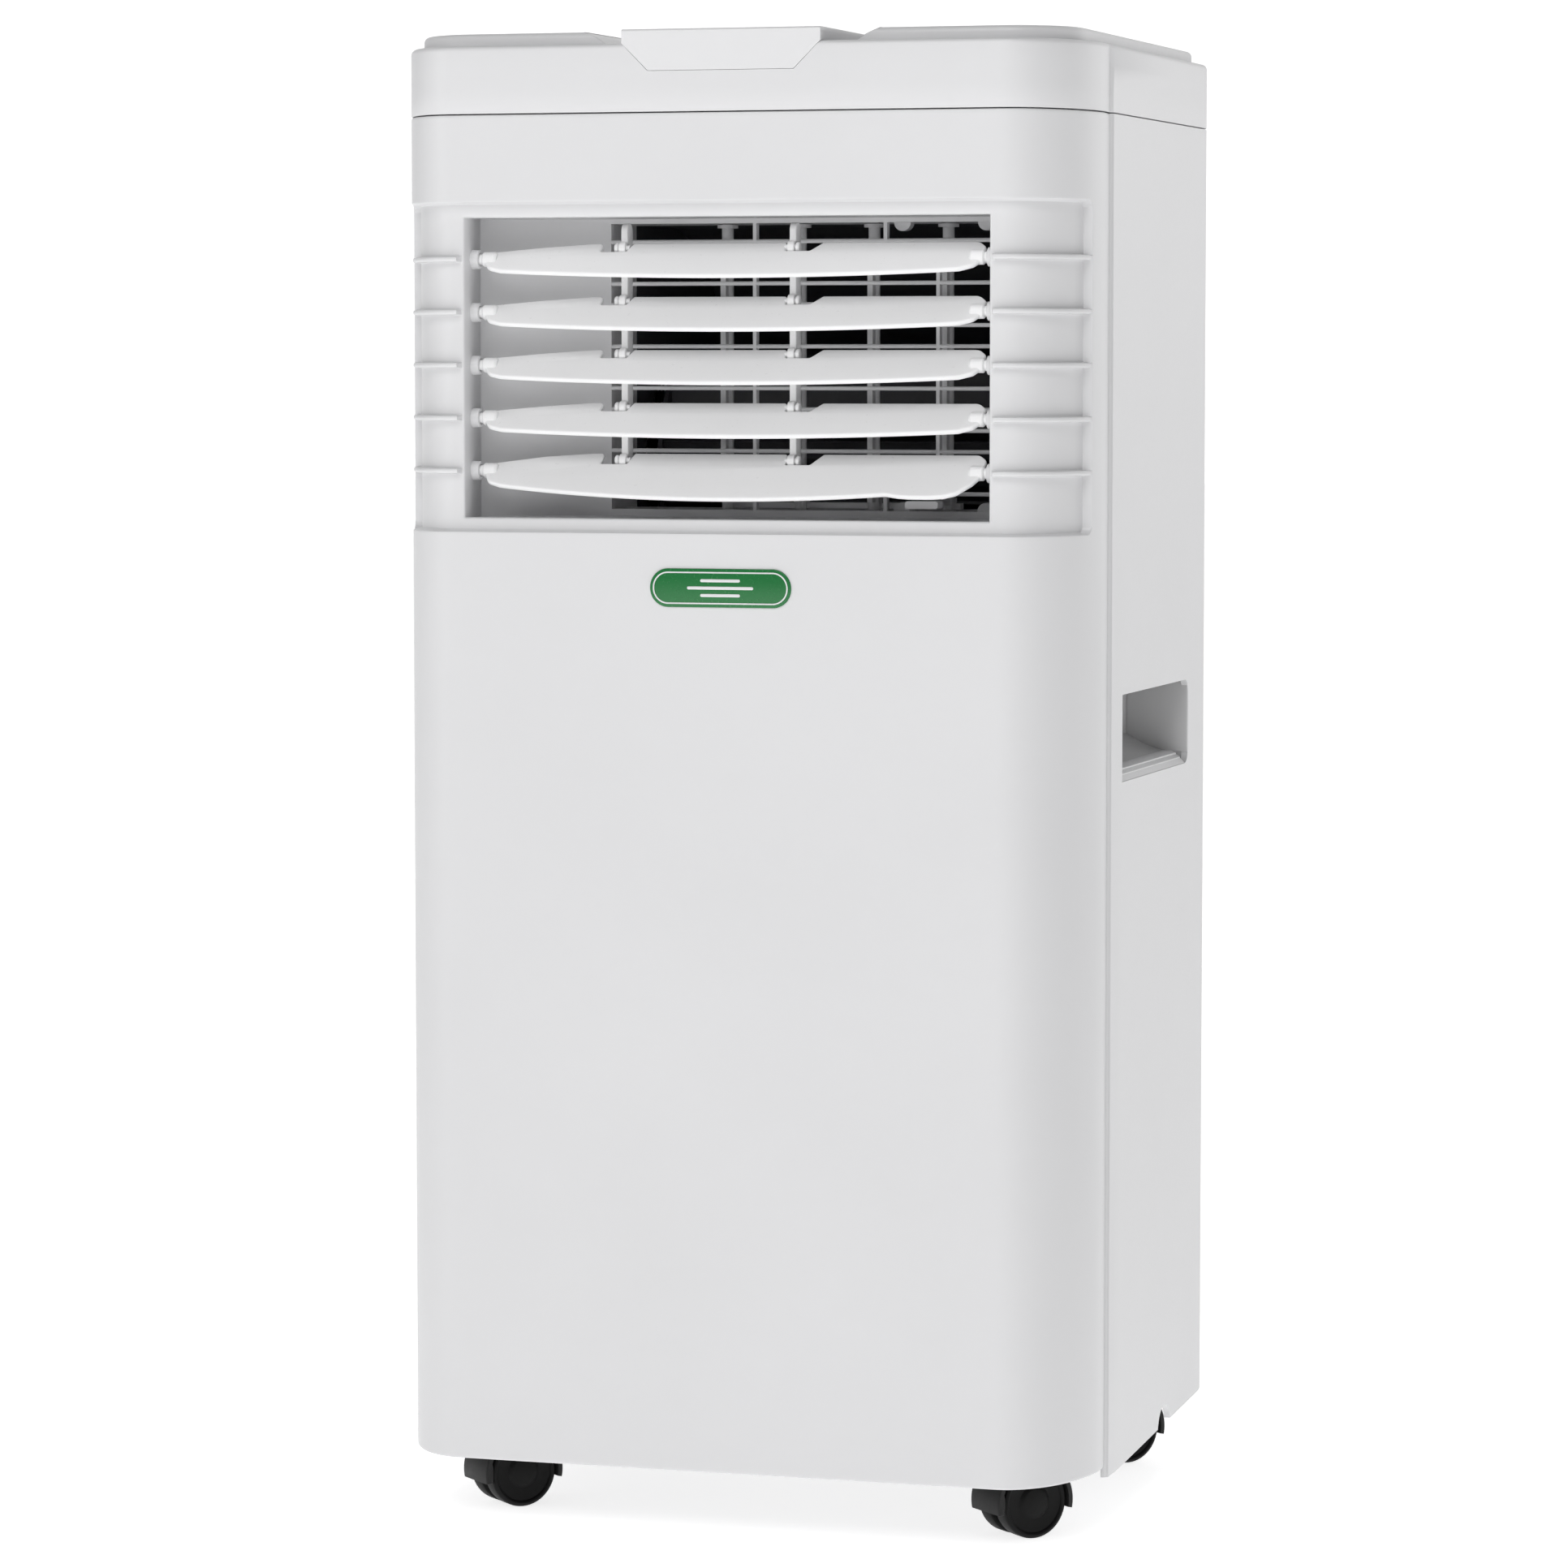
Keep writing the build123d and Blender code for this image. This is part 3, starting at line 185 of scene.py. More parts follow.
MATERIALS = {
    "casing_white": moulded("casing_white", (0.72, 0.72, 0.73), 0.38, 0.012),
    "console_white": moulded("console_white", (0.76, 0.76, 0.77), 0.32, 0.012),
    # louver_white is the casing's white plastic, set lighter (0.90 against 0.72) as painted light, so that the
    # louvers and link bars deep in the shaded outlet read as bright.
    "louver_white": moulded("louver_white", (0.90, 0.90, 0.905), 0.30, 0.015),
    "duct_grey": moulded("duct_grey", (0.68, 0.68, 0.69), 0.45, 0.03),
    "badge_green": moulded("badge_green", (0.012, 0.16, 0.04), 0.25, 0.05),
    "display_black": moulded("display_black", (0.012, 0.012, 0.014), 0.08, 0.1, coat=1.0),
    "inner_plastic": moulded("inner_plastic", (0.05, 0.05, 0.055), 0.55, 0.06),
    "painted_steel": moulded("painted_steel", (0.045, 0.045, 0.05), 0.3, 0.06, 700.0, 0.00002),
    "coil_aluminium": striped("coil_aluminium", (0.62, 0.63, 0.65), 0.35, "X", 0.0018, 0.0004,
                              1.0),
    "pipe_copper": metal("pipe_copper", (0.78, 0.40, 0.24), 0.3),
    "black_rubber": moulded("black_rubber", (0.02, 0.02, 0.02), 0.7, 0.1, 1500.0, 0.00003),
    "bare_steel": metal("bare_steel", (0.62, 0.62, 0.63), 0.32),
    "circuit_green": moulded("circuit_green", (0.02, 0.15, 0.06), 0.3, 0.1),
    "filter_mesh": striped("filter_mesh", (0.05, 0.05, 0.055), 0.6, "DIAGONAL", 0.0012, 0.0003),
    "caster_black": moulded("caster_black", (0.022, 0.022, 0.022), 0.5, 0.06, 1800.0, 0.00002,
                            0.25),
    # The hand-hold pockets are white plastic painted this grey as painted shade; on the button marks and the
    # display digits this grey is their printed colour.
    "hold_grey": moulded("hold_grey", (0.60, 0.60, 0.605), 0.5, 0.03, 2200.0, 0.00002, 0.3),
    "wheel_black": moulded("wheel_black", (0.006, 0.006, 0.006), 0.55, 0.08, 1800.0, 0.00002,
                           0.18),
}

SLOT_OF = {part["node"]: part["material_slot"] for part in frame["record"]["subparts"]}
SOFT_EDGES = {"control_console": 0.5, "side_panels": 0.35,
              "exhaust_socket": 0.8, "cord_gland": 0.4, "drain_plug": 0.5, "base_pan": 0.5}
SOFT_EDGE_ANGLE = 50
WELD_GAP = 0.000002            # metres, as are the next two
MERGE_GAP = 0.000001
SPECK = 0.0000002


def finish_cad(node):
    """A CAD node gets its slot's material, and soft edges where its moulding shows them."""
    obj = frame["nodes"][node]
    obj.data.materials.clear()
    obj.data.materials.append(MATERIALS[SLOT_OF[node]])
    for polygon in obj.data.polygons:
        polygon.use_smooth = True
    if node in SOFT_EDGES:
        weld = obj.modifiers.new("weld", "WELD")
        weld.merge_threshold = WELD_GAP
        soft = obj.modifiers.new("soft_edges", "BEVEL")
        soft.width = SOFT_EDGES[node] * MM
        soft.segments = 2
        soft.limit_method = "ANGLE"
        soft.angle_limit = math.radians(SOFT_EDGE_ANGLE)
        even = obj.modifiers.new("even_normals", "WEIGHTED_NORMAL")
        even.mode = "FACE_AREA"
        even.weight = 100


# ------------------------------------------------------------------ mesh helpers, in millimetres
def add_piece(name, verts, faces, body, look, replaced=(), sharp=32.0, slot_name=None):
    """A closed mesh from millimetre points, smooth between edges sharper than the limit."""
    mesh = bpy.data.meshes.new(name)
    mesh.from_pydata([tuple(c * MM for c in v) for v in verts], [], faces)
    bm = bmesh.new()
    bm.from_mesh(mesh)
    bmesh.ops.remove_doubles(bm, verts=bm.verts, dist=MERGE_GAP)
    bmesh.ops.dissolve_degenerate(bm, edges=bm.edges, dist=SPECK)
    bmesh.ops.delete(bm, geom=[e for e in bm.edges if not e.link_faces], context="EDGES")
    bmesh.ops.recalc_face_normals(bm, faces=bm.faces)
    bm.to_mesh(mesh)
    bm.free()
    mesh.shade_smooth()
    mesh.set_sharp_from_angle(angle=math.radians(sharp))
    mesh.materials.append(MATERIALS[look])
    obj = bpy.data.objects.new(name, mesh)
    bpy.context.scene.collection.objects.link(obj)
    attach(obj, body)
    if replaced:
        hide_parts(*replaced)


def rounded(corners, step=12.0):
    """A closed outline from (x, y, radius) corners, each rounded with an arc."""
    points = []
    n = len(corners)
    for i in range(n):
        x, y, r = corners[i]
        here = Vector((x, y))
        back = Vector(corners[i - 1][:2]) - here
        ahead = Vector(corners[(i + 1) % n][:2]) - here
        if r <= 0.0:
            points.append((x, y))
            continue
        a, b = back.normalized(), ahead.normalized()
        half = math.acos(max(-1.0, min(1.0, a.dot(b)))) / 2
        if half > math.pi / 2 - 0.01:
            points.append((x, y))
            continue
        reach = min(r / math.tan(half), 0.49 * back.length, 0.49 * ahead.length)
        radius = reach * math.tan(half)
        centre = here + (a + b).normalized() * (radius / math.sin(half))
        start = here + a * reach - centre
        stop = here + b * reach - centre
        turn = math.pi - 2 * half
        if start.x * stop.y - start.y * stop.x < 0:
            turn = -turn
        count = max(1, math.ceil(abs(math.degrees(turn)) / step))
        for k in range(count + 1):
            c, s = math.cos(turn * k / count), math.sin(turn * k / count)
            points.append((centre.x + start.x * c - start.y * s,
                           centre.y + start.x * s + start.y * c))
    return points


def inset_outline(points, amount):
    """Moves a counter-clockwise outline inwards."""
    n = len(points)
    moved = []
    for i in range(n):
        x, y = points[i]
        ax, ay = x - points[i - 1][0], y - points[i - 1][1]
        bx, by = points[(i + 1) % n][0] - x, points[(i + 1) % n][1] - y
        la, lb = math.hypot(ax, ay) or 1.0, math.hypot(bx, by) or 1.0
        nx, ny = -ay / la - by / lb, ax / la + bx / lb
        ln = math.hypot(nx, ny) or 1.0
        nx, ny = nx / ln, ny / ln
        scale = 1.0 / max(0.5, nx * -ay / la + ny * ax / la)
        moved.append((x + nx * amount * scale, y + ny * amount * scale))
    return moved


def round_profile(low, high, radius, steps=4, low_radius=None):
    """(height, inset) pairs of a slab with rounded edges."""
    low_radius = radius if low_radius is None else low_radius
    rings = []
    for k in range(steps, -1, -1):
        a = math.pi / 2 * k / steps
        rings.append((low + low_radius * (1 - math.sin(a)), low_radius * (1 - math.cos(a))))
    for k in range(steps + 1):
        a = math.pi / 2 * k / steps
        rings.append((high - radius * (1 - math.sin(a)), radius * (1 - math.cos(a))))
    return rings


def slab(outline, rings):
    """Verts and faces of a closed plate: the outline at each (height, inset)."""
    n = len(outline)
    verts, faces = [], []
    for height, amount in rings:
        ring = inset_outline(outline, amount) if amount else outline
        verts += [(x, y, height) for x, y in ring]
    for r in range(len(rings) - 1):
        for i in range(n):
            j = (i + 1) % n
            faces.append((r * n + i, r * n + j, (r + 1) * n + j, (r + 1) * n + i))
    top = (len(rings) - 1) * n
    faces.append(tuple(range(n - 1, -1, -1)))
    faces.append(tuple(range(top, top + n)))
    return verts, faces


def lathe(profile, count=48, sweep=360.0, start=0.0):
    """Turns (radius, height) points about Z. An open profile closes on the axis or on itself."""
    full = sweep >= 360.0
    steps = count if full else count + 1
    verts = []
    for i in range(steps):
        a = math.radians(start + sweep * i / count)
        verts += [(r * math.cos(a), r * math.sin(a), h) for r, h in profile]
    n = len(profile)
    faces = []
    for i in range(count):
        j = (i + 1) % steps
        for k in range(n):
            m = (k + 1) % n
            faces.append((i * n + k, j * n + k, j * n + m, i * n + m))
    if not full:
        faces.append(tuple(range(n)))
        faces.append(tuple(range(count * n + n - 1, count * n - 1, -1)))
    return verts, faces


def merge(*parts):
    verts, faces = [], []
    for v, f in parts:
        base = len(verts)
        verts += v
        faces += [tuple(i + base for i in face) for face in f]
    return verts, faces


def moved(part, matrix):
    verts, faces = part
    return [tuple(matrix @ Vector(v)) for v in verts], faces


def box_edges(low, high, radius=0.6, steps=3):
    """A block with rounded vertical and rounded top and bottom edges."""
    (x0, y0, z0), (x1, y1, z1) = low, high
    r = min(radius * 1.6, (x1 - x0) * 0.45, (y1 - y0) * 0.45)
    outline = rounded([(x0, y0, r), (x1, y0, r), (x1, y1, r), (x0, y1, r)])
    return slab(outline, round_profile(z0, z1, radius, steps))


# ------------------------------------------------------------------ sizes
def low_mm(node):
    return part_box(node)[0] / MM


def high_mm(node):
    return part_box(node)[1] / MM


FRONT_Y = low_mm("front_panel").y
HALF_W = high_mm("side_panels").x
SEAM_Y = high_mm("front_panel").y
PANEL_Z = (low_mm("front_panel").z, high_mm("front_panel").z)
JOINT_AT = {j["name"]: Vector(j["pos_m"]) / MM for j in frame["joints"] if j.get("pos_m")}
PIVOT_Y = JOINT_AT["louver_1_tilt"].y
LOUVER_Z = [JOINT_AT[f"louver_{i}_tilt"].z for i in range(1, 6)]

OPEN_X = 119.0                 # half width of the outlet
OPEN_Z = (447.5, 578.5)
RECESS_Z = (441.5, 585.0)
RECESS_DEPTH = 4.0
RECESS_WRAP = 38.8             # how far the recess runs round the corners
RECESS_CORNER_R = 4.0
CORNER = (35.0, 62.0)          # radii of the elliptical front corners
TUCK = 1.5                     # how far the panel turns in at its joint with the side
TUCK_LENGTH = 20.0
PANEL_WALL = 2.4
ROLL_DROP = [0.8, 0.42, 0.12, 0.0]

TILT = math.radians(40.0)
LINK_X = (-51.0, 26.0)
PEG_ARM = 7.2
LOUVER_END = 113.5

BADGE_HALF = (32.0, 8.4)
BADGE_LINE_INSET = 1.4
BADGE_LINE_WIDTH = 0.6

HOLD_Y = (-48.0, 81.0)
HOLD_Z = (331.0, 369.5)
HOLD_DEEP = 29.0
HOLD_RISE = 26.0               # height of the finger space above the mouth
CUP_WALL = 3.0

AXLE_BACK = 5.0                # trail of each caster
WHEEL_R = 16.0
FENDER_R = (17.2, 19.6)
FENDER_HALF_W = 11.5
FENDER_DIP = 4.0               # the fender reaches this far below the axle
CASTER_TURN = {"front_left": 47.0, "front_right": 47.0, "rear_right": 47.0, "rear_left": 140.0}

COVER_Z = (623.5, 653.0)
COVER_WALL = 4.6
RIM_R = 2.5
REAR_R = 24.0
PAD_TOP = 659.0
PAD_SLOPE_X = (54.0, 66.0)     # inner end of each pad, at its foot and at its top
PAD_INSET = 7.0
CONSOLE_HALF_W = (33.0, 45.0)  # at the foot and at the top of the notch
CONSOLE_FOOT_Z = 641.0
CONSOLE_REAR_Y = -35.0

MARK_SUNK = 0.2                # marks sink this far into what carries them
MARK_RISE = 0.06
BUTTONS = ("power_button", "mode_button", "fan_button", "warmer_button", "cooler_button")
DIGIT_PITCH = 13.0
SEGMENTS = {"a": (0, 1, 0), "b": (1, 0.5, 1), "c": (1, -0.5, 1), "d": (0, -1, 0),
            "e": (-1, -0.5, 1), "f": (-1, 0.5, 1), "g": (0, 0, 0)}


# ------------------------------------------------------------------ front panel
def panel_plan():
    """(x, y, nx, ny, arc length) along the panel's plan, from its middle to the right-hand joint."""
    rx, ry = CORNER
    flat = HALF_W - rx
    xs = list(np.linspace(0, OPEN_X - 1.4, 40)) + [118.2, 118.6]
    xs += [119.0, 119.2, 119.45, 119.8, 120.1, 120.4, 120.8, 121.3, 122.0]
    rows = [(x, FRONT_Y, 0.0, -1.0) for x in xs]
    turns = [np.arange(0, 60, 2.5), np.arange(60, 73, 0.55), np.arange(73, 90, 1.5), [90.0]]
    for t in np.radians(np.concatenate(turns)):
        n = Vector((math.sin(t) / rx, -math.cos(t) / ry)).normalized()
        rows.append((flat + rx * math.sin(t), FRONT_Y + ry * (1 - math.cos(t)), n.x, n.y))
    for y in (SEAM_Y - 1.2, SEAM_Y - 0.6, SEAM_Y - 0.25, SEAM_Y - 0.05, SEAM_Y):
        rows.append((HALF_W, y, 1.0, 0.0))
    s = 0.0
    out = []
    for i, row in enumerate(rows):
        if i:
            s += math.hypot(row[0] - rows[i - 1][0], row[1] - rows[i - 1][1])
        out.append((*row, s))
    return out


def panel_heights():
    z0, z1 = PANEL_Z
    rows = [z0, z0 + 0.1, z0 + 0.35, z0 + 0.8, z0 + 1.5]
    rows += list(np.linspace(z0 + 5, RECESS_Z[0] - 2, 30))
    rows += list(np.arange(-1.0, 5.0, 0.4) + RECESS_Z[0])
    rows += [OPEN_Z[0] - 0.8, OPEN_Z[0] - 0.45, OPEN_Z[0] - 0.2, OPEN_Z[0], OPEN_Z[0] + 0.5]
    rows += [OPEN_Z[1] - 0.5, OPEN_Z[1], OPEN_Z[1] + 0.2, OPEN_Z[1] + 0.45, OPEN_Z[1] + 0.8]
    rows += list(RECESS_Z[1] - np.arange(-1.0, 5.0, 0.4))
    for z in LOUVER_Z:
        for d in (0.4, 0.9, 1.1, 1.25, 1.5, 1.9, 3, 8):
            rows += [z - d, z + d]
    rows += list(np.linspace(RECESS_Z[1] + 2, z1 - 5, 8))
    rows += [z1 - 1.5, z1 - 0.8, z1 - 0.35, z1 - 0.1, z1]
    return sorted(set(round(float(z), 3) for z in rows))


def tuck(y):
    """The panel turns in slightly as it nears the joint with the side."""
    near = max(0.0, 1.0 - (SEAM_Y - y) / TUCK_LENGTH)
    return TUCK * near ** 2


def roll_off(distance, reach, drop=ROLL_DROP):
    """The rounding of an edge: how far the surface has dropped at a distance from it."""
    return float(np.interp(distance, reach, drop))


def panel_depth(x, s, s_end, z):
    """How far the surface lies behind the plan: the recess, its ribs and its rounded rims."""
    middle = (RECESS_Z[0] + RECESS_Z[1]) / 2
    half = (RECESS_Z[1] - RECESS_Z[0]) / 2
    r = RECESS_CORNER_R
    qx, qz = s - s_end + r, abs(z - middle) - half + r
    edge = math.hypot(max(qx, 0.0), max(qz, 0.0)) + min(max(qx, qz), 0.0) - r
    depth = float(np.interp(-edge, [-0.45, -0.1, 0.1, 0.7, 1.1],
                            [0.0, 0.12, 0.6, 3.8, RECESS_DEPTH]))
    if depth > 0.0 and x > OPEN_X + 1.2:
        off = min(abs(z - level) for level in LOUVER_Z)
        rib = float(np.interp(off, [0.6, 1.05, 1.25, 1.5], [0.35, 0.75, 3.7, RECESS_DEPTH]))
        along = float(np.interp(x, [OPEN_X + 1.2, OPEN_X + 2.3], [0.0, 1.0]))
        depth = min(depth, RECESS_DEPTH - (RECESS_DEPTH - rib) * along)
    out = max(x - OPEN_X, OPEN_Z[0] - z, z - OPEN_Z[1])
    if out > -0.01:
        depth += roll_off(out, [0.0, 0.2, 0.45, 0.8])
    return depth


def panel_grid():
    """Verts and faces of the panel's outer skin, with the outlet left open."""
    plan = panel_plan()
    s_end = float(np.interp(FRONT_Y + RECESS_WRAP, [p[1] for p in plan], [p[4] for p in plan]))
    heights = panel_heights()
    columns = [(-1, p) for p in plan[:0:-1]] + [(1, p) for p in plan]
    z0, z1 = heights[0], heights[-1]
    verts = []
    for z in heights:
        roll_z = roll_off(min(z - z0, z1 - z), [0.0, 0.1, 0.35, 0.8])
        for side, (x, y, nx, ny, s) in columns:
            roll_y = roll_off(SEAM_Y - y, [0.0, 0.05, 0.25, 0.6], [0.8, 0.45, 0.12, 0.0])
            d = panel_depth(x, s, s_end, z) + max(roll_z, roll_y) + tuck(y)
            verts.append((side * (x - nx * d), y - ny * d, z))
    n = len(columns)
    in_outlet = [row[0] < OPEN_X + 0.01 and row[1] == FRONT_Y for _, row in columns]
    faces = []
    for r in range(len(heights) - 1):
        low, high = heights[r], heights[r + 1]
        hole_row = low >= OPEN_Z[0] - 0.001 and high <= OPEN_Z[1] + 0.001
        for c in range(n - 1):
            if hole_row and in_outlet[c] and in_outlet[c + 1]:
                continue
            faces.append((r * n + c, r * n + c + 1, (r + 1) * n + c + 1, (r + 1) * n + c))
    return verts, faces


def put_in_order(parts, place):
    """Sorts mesh elements by where they lie, so that every run writes them in one order."""
    rank = {part: i for i, part in enumerate(sorted(parts, key=place))}
    parts.sort(key=rank.get)
    parts.index_update()


def front_panel():
    """The skin, the return wall round the outlet, and the thickness of the moulding."""
    verts, faces = panel_grid()
    mesh = bpy.data.meshes.new("front_panel_skin")
    mesh.from_pydata(verts, [], faces)
    bm = bmesh.new()
    bm.from_mesh(mesh)
    bmesh.ops.delete(bm, geom=[v for v in bm.verts if not v.link_faces], context="VERTS")
    rim = [e for e in bm.edges if e.is_boundary and all(
        abs(v.co.x) < OPEN_X + 0.1 and OPEN_Z[0] - 0.1 < v.co.z < OPEN_Z[1] + 0.1 for v in e.verts)]
    rear = low_mm("outlet_duct").y
    for part in bmesh.ops.extrude_edge_only(bm, edges=rim)["geom"]:
        if isinstance(part, bmesh.types.BMVert):
            part.co.y = rear
    bmesh.ops.scale(bm, vec=(MM, MM, MM), verts=bm.verts)
    bmesh.ops.recalc_face_normals(bm, faces=bm.faces)
    bm.faces.ensure_lookup_table()
    largest = max(bm.faces, key=lambda f: f.calc_area())
    if largest.normal.y > 0:
        bmesh.ops.reverse_faces(bm, faces=bm.faces)
    put_in_order(bm.verts, lambda v: tuple(v.co))
    put_in_order(bm.edges, lambda e: tuple(e.verts[0].co + e.verts[1].co))
    put_in_order(bm.faces, lambda f: tuple(f.calc_center_median()))
    bm.to_mesh(mesh)
    bm.free()
    mesh.shade_smooth()
    mesh.set_sharp_from_angle(angle=math.radians(40))
    mesh.materials.append(MATERIALS["casing_white"])
    obj = bpy.data.objects.new("front_panel_skin", mesh)
    bpy.context.scene.collection.objects.link(obj)
    thick = obj.modifiers.new("wall", "SOLIDIFY")
    thick.thickness = PANEL_WALL * MM
    thick.offset = -1.0
    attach(obj, "cabinet")
    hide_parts("front_panel")


def pin_clips():
    """Open clips on the left of the opening, collars on the right, that hold the louver pins."""
    parts = []
    ring = [(2.75, 0.0), (2.75, 3.4), (3.3, 3.7), (4.1, 3.4), (4.3, 0.0)]
    for z in LOUVER_Z:
        left = lathe(ring, 24, 250.0, 55.0)
        parts.append(moved(left, Matrix.Translation((-OPEN_X, PIVOT_Y, z)) @ TO_X))
        right = lathe(ring, 24)
        flip = Matrix.Translation((OPEN_X, PIVOT_Y, z)) @ Matrix.Scale(-1, 4, (1, 0, 0)) @ TO_X
        parts.append(moved(right, flip))
    add_piece("pin_clips", *merge(*parts), "cabinet", "casing_white")


# ------------------------------------------------------------------ louvers
def louver_outline(rear, nose, nose_end, tab):
    """Counter-clockwise outline about the pivot line: x across, y towards the rear edge."""
    end = LOUVER_END
    front = []
    stop = 104.0
    for x in np.linspace(-stop, stop, 41):
        bow = -nose_end - (nose - nose_end) * (1 - (x / stop) ** 2)
        if tab and x > 73:
            edge = float(np.interp(x, [73, 80, 86, 96, 102, 107], [0.0, 2.4, 3.3, 4.6, 4.4, 2.0]))
            bow -= edge
        front.append((float(x), float(bow), 0.0))
    tip = [(110.0, -nose_end * 0.72, 3.0), (end, -1.6, 2.0), (end, rear - 3.5, 3.0),
           (end - 3.5, rear, 4.5)]
    right_notch = [(39.8, rear, 1.6), (34.8, 4.1, 1.4), (23.6, 4.1, 0.5), (23.4, rear, 1.2)]
    left_notch = [(-46.6, rear, 1.2), (-49.0, 4.1, 0.6), (-60.8, 4.1, 0.8), (-60.4, rear, 1.8)]
    taper = [(-66.0, rear - 0.1, 6.0), (-88.0, rear - 2.4, 20.0), (-end + 2, 3.9, 4.0)]
    left = [(-end, 2.2, 1.5), (-end, -1.8, 2.5), (-110.0, -nose_end * 0.78, 4.0)]
    return rounded(front + tip + right_notch + left_notch + taper + left)


def louver(i):
    """Blade, end pins with their hubs, and the two link pegs, tilted; the last one is deeper."""
    last = i == len(LOUVER_Z) - 1
    rear = 11.1 if last else 9.6
    nose = 18.6 if last else 12.4
    nose_end = 10.6 if last else 8.6
    outline = louver_outline(rear, nose, nose_end, last)
    blade = slab(outline, round_profile(-1.3, 1.1, 1.0, 4, 0.8))
    parts = [blade]
    for side in (-1, 1):
        pin = lathe([(0.0, 0.0), (2.35, 0.0), (2.35, 7.6), (2.0, 8.0), (0.0, 8.0)], 24)
        turn = Matrix.Scale(side, 4, (1, 0, 0)) @ Matrix.Translation((110.6, 0, 0)) @ TO_X
        parts.append(moved(pin, turn))
        hub = lathe([(0.0, 0.0), (2.6, 0.0), (3.3, 1.0), (3.3, 6.0), (2.8, 6.6), (0.0, 6.6)], 24)
        turn = Matrix.Scale(side, 4, (1, 0, 0)) @ Matrix.Translation((107.4, 0, 0)) @ TO_X
        parts.append(moved(hub, turn))
    for x, out in zip(LINK_X, (-1, 1)):
        knob = lathe([(0.0, -3.1), (1.35, -3.1), (1.35, 1.9), (2.15, 2.1), (2.35, 2.5),
                      (2.35, 3.3), (2.0, 3.7), (0.0, 3.8)], 28)
        turn = Matrix.Translation((x, PEG_ARM, 0)) @ Matrix.Scale(out, 4, (1, 0, 0)) @ TO_X
        parts.append(moved(knob, turn))
    tilt = Matrix.Translation((0, PIVOT_Y, LOUVER_Z[i])) @ Matrix.Rotation(TILT, 4, "X")
    name = f"louver_{i + 1}"
    add_piece(name + "_blade", *moved(merge(*parts), tilt), name, "louver_white", [name])


def link_bars():
    """Flat upright bars with an eye at each louver."""
    peg_y = PIVOT_Y + PEG_ARM * math.cos(TILT)
    rise = PEG_ARM * math.sin(TILT)
    low = LOUVER_Z[-1] + rise - 4.0
    high = LOUVER_Z[0] + rise + 11.0
    parts = []
    for x in LINK_X:
        y0, y1 = peg_y + 1.0, peg_y + 8.5
        outline = rounded([(y0, low, 1.5), (y1, low, 1.5), (y1, high, 3.6), (y0, high, 3.6)])
        bar = slab(outline, round_profile(-1.5, 1.5, 0.45, 3))
        parts.append(moved(bar, Matrix.Translation((x, 0, 0)) @ TO_X))
        for z in LOUVER_Z:
            eye = lathe([(1.45, -1.5), (2.7, -1.5), (2.9, -1.2), (2.9, 1.2), (2.7, 1.5),
                         (1.45, 1.5)], 28)
            parts.append(moved(eye, Matrix.Translation((x, peg_y, z + rise)) @ TO_X))
    add_piece("link_bar_pair", *merge(*parts), "link_bars", "louver_white", ["link_bars"])


# ------------------------------------------------------------------ badge
def badge():
    """A plain green lozenge with a pale line inside its edge and three pale bars; no lettering."""
    z = (low_mm("badge").z + high_mm("badge").z) / 2
    stand = Matrix.Translation((0, FRONT_Y, z)) @ STAND

    def lozenge(inset):
        w, h = BADGE_HALF[0] - inset, BADGE_HALF[1] - inset
        return rounded([(-w, -h, h), (w, -h, h), (w, h, h), (-w, h, h)], 6.0)

    plate = slab(lozenge(0.0), round_profile(-0.6, 0.7, 0.35, 3, 0.05))
    add_piece("badge_plate", *moved(plate, stand), "cabinet", "badge_green", ["badge"])
    outer = lozenge(BADGE_LINE_INSET)
    inner = inset_outline(outer, BADGE_LINE_WIDTH)
    n = len(outer)
    verts = [(x, y, h) for h in (0.4, 0.86) for ring in (outer, inner) for x, y in ring]
    faces = []
    for i in range(n):
        j = (i + 1) % n
        faces += [(i, j, n + j, n + i), (2 * n + i, 3 * n + i, 3 * n + j, 2 * n + j),
                  (i, 2 * n + i, 2 * n + j, j), (n + i, n + j, 3 * n + j, 3 * n + i)]
    line = (verts, faces)
    bars = []
    for k, w in enumerate((9.0, 15.0, 9.0)):
        low, high = (k - 1) * 3.2 - 0.65, (k - 1) * 3.2 + 0.65
        outline = rounded([(-w, low, 0.6), (w, low, 0.6), (w, high, 0.6), (-w, high, 0.6)])
        bars.append(slab(outline, [(0.4, 0.0), (0.8, 0.0), (0.86, 0.1)]))
    add_piece("badge_lines", *moved(merge(line, *bars), stand), "cabinet", "console_white")


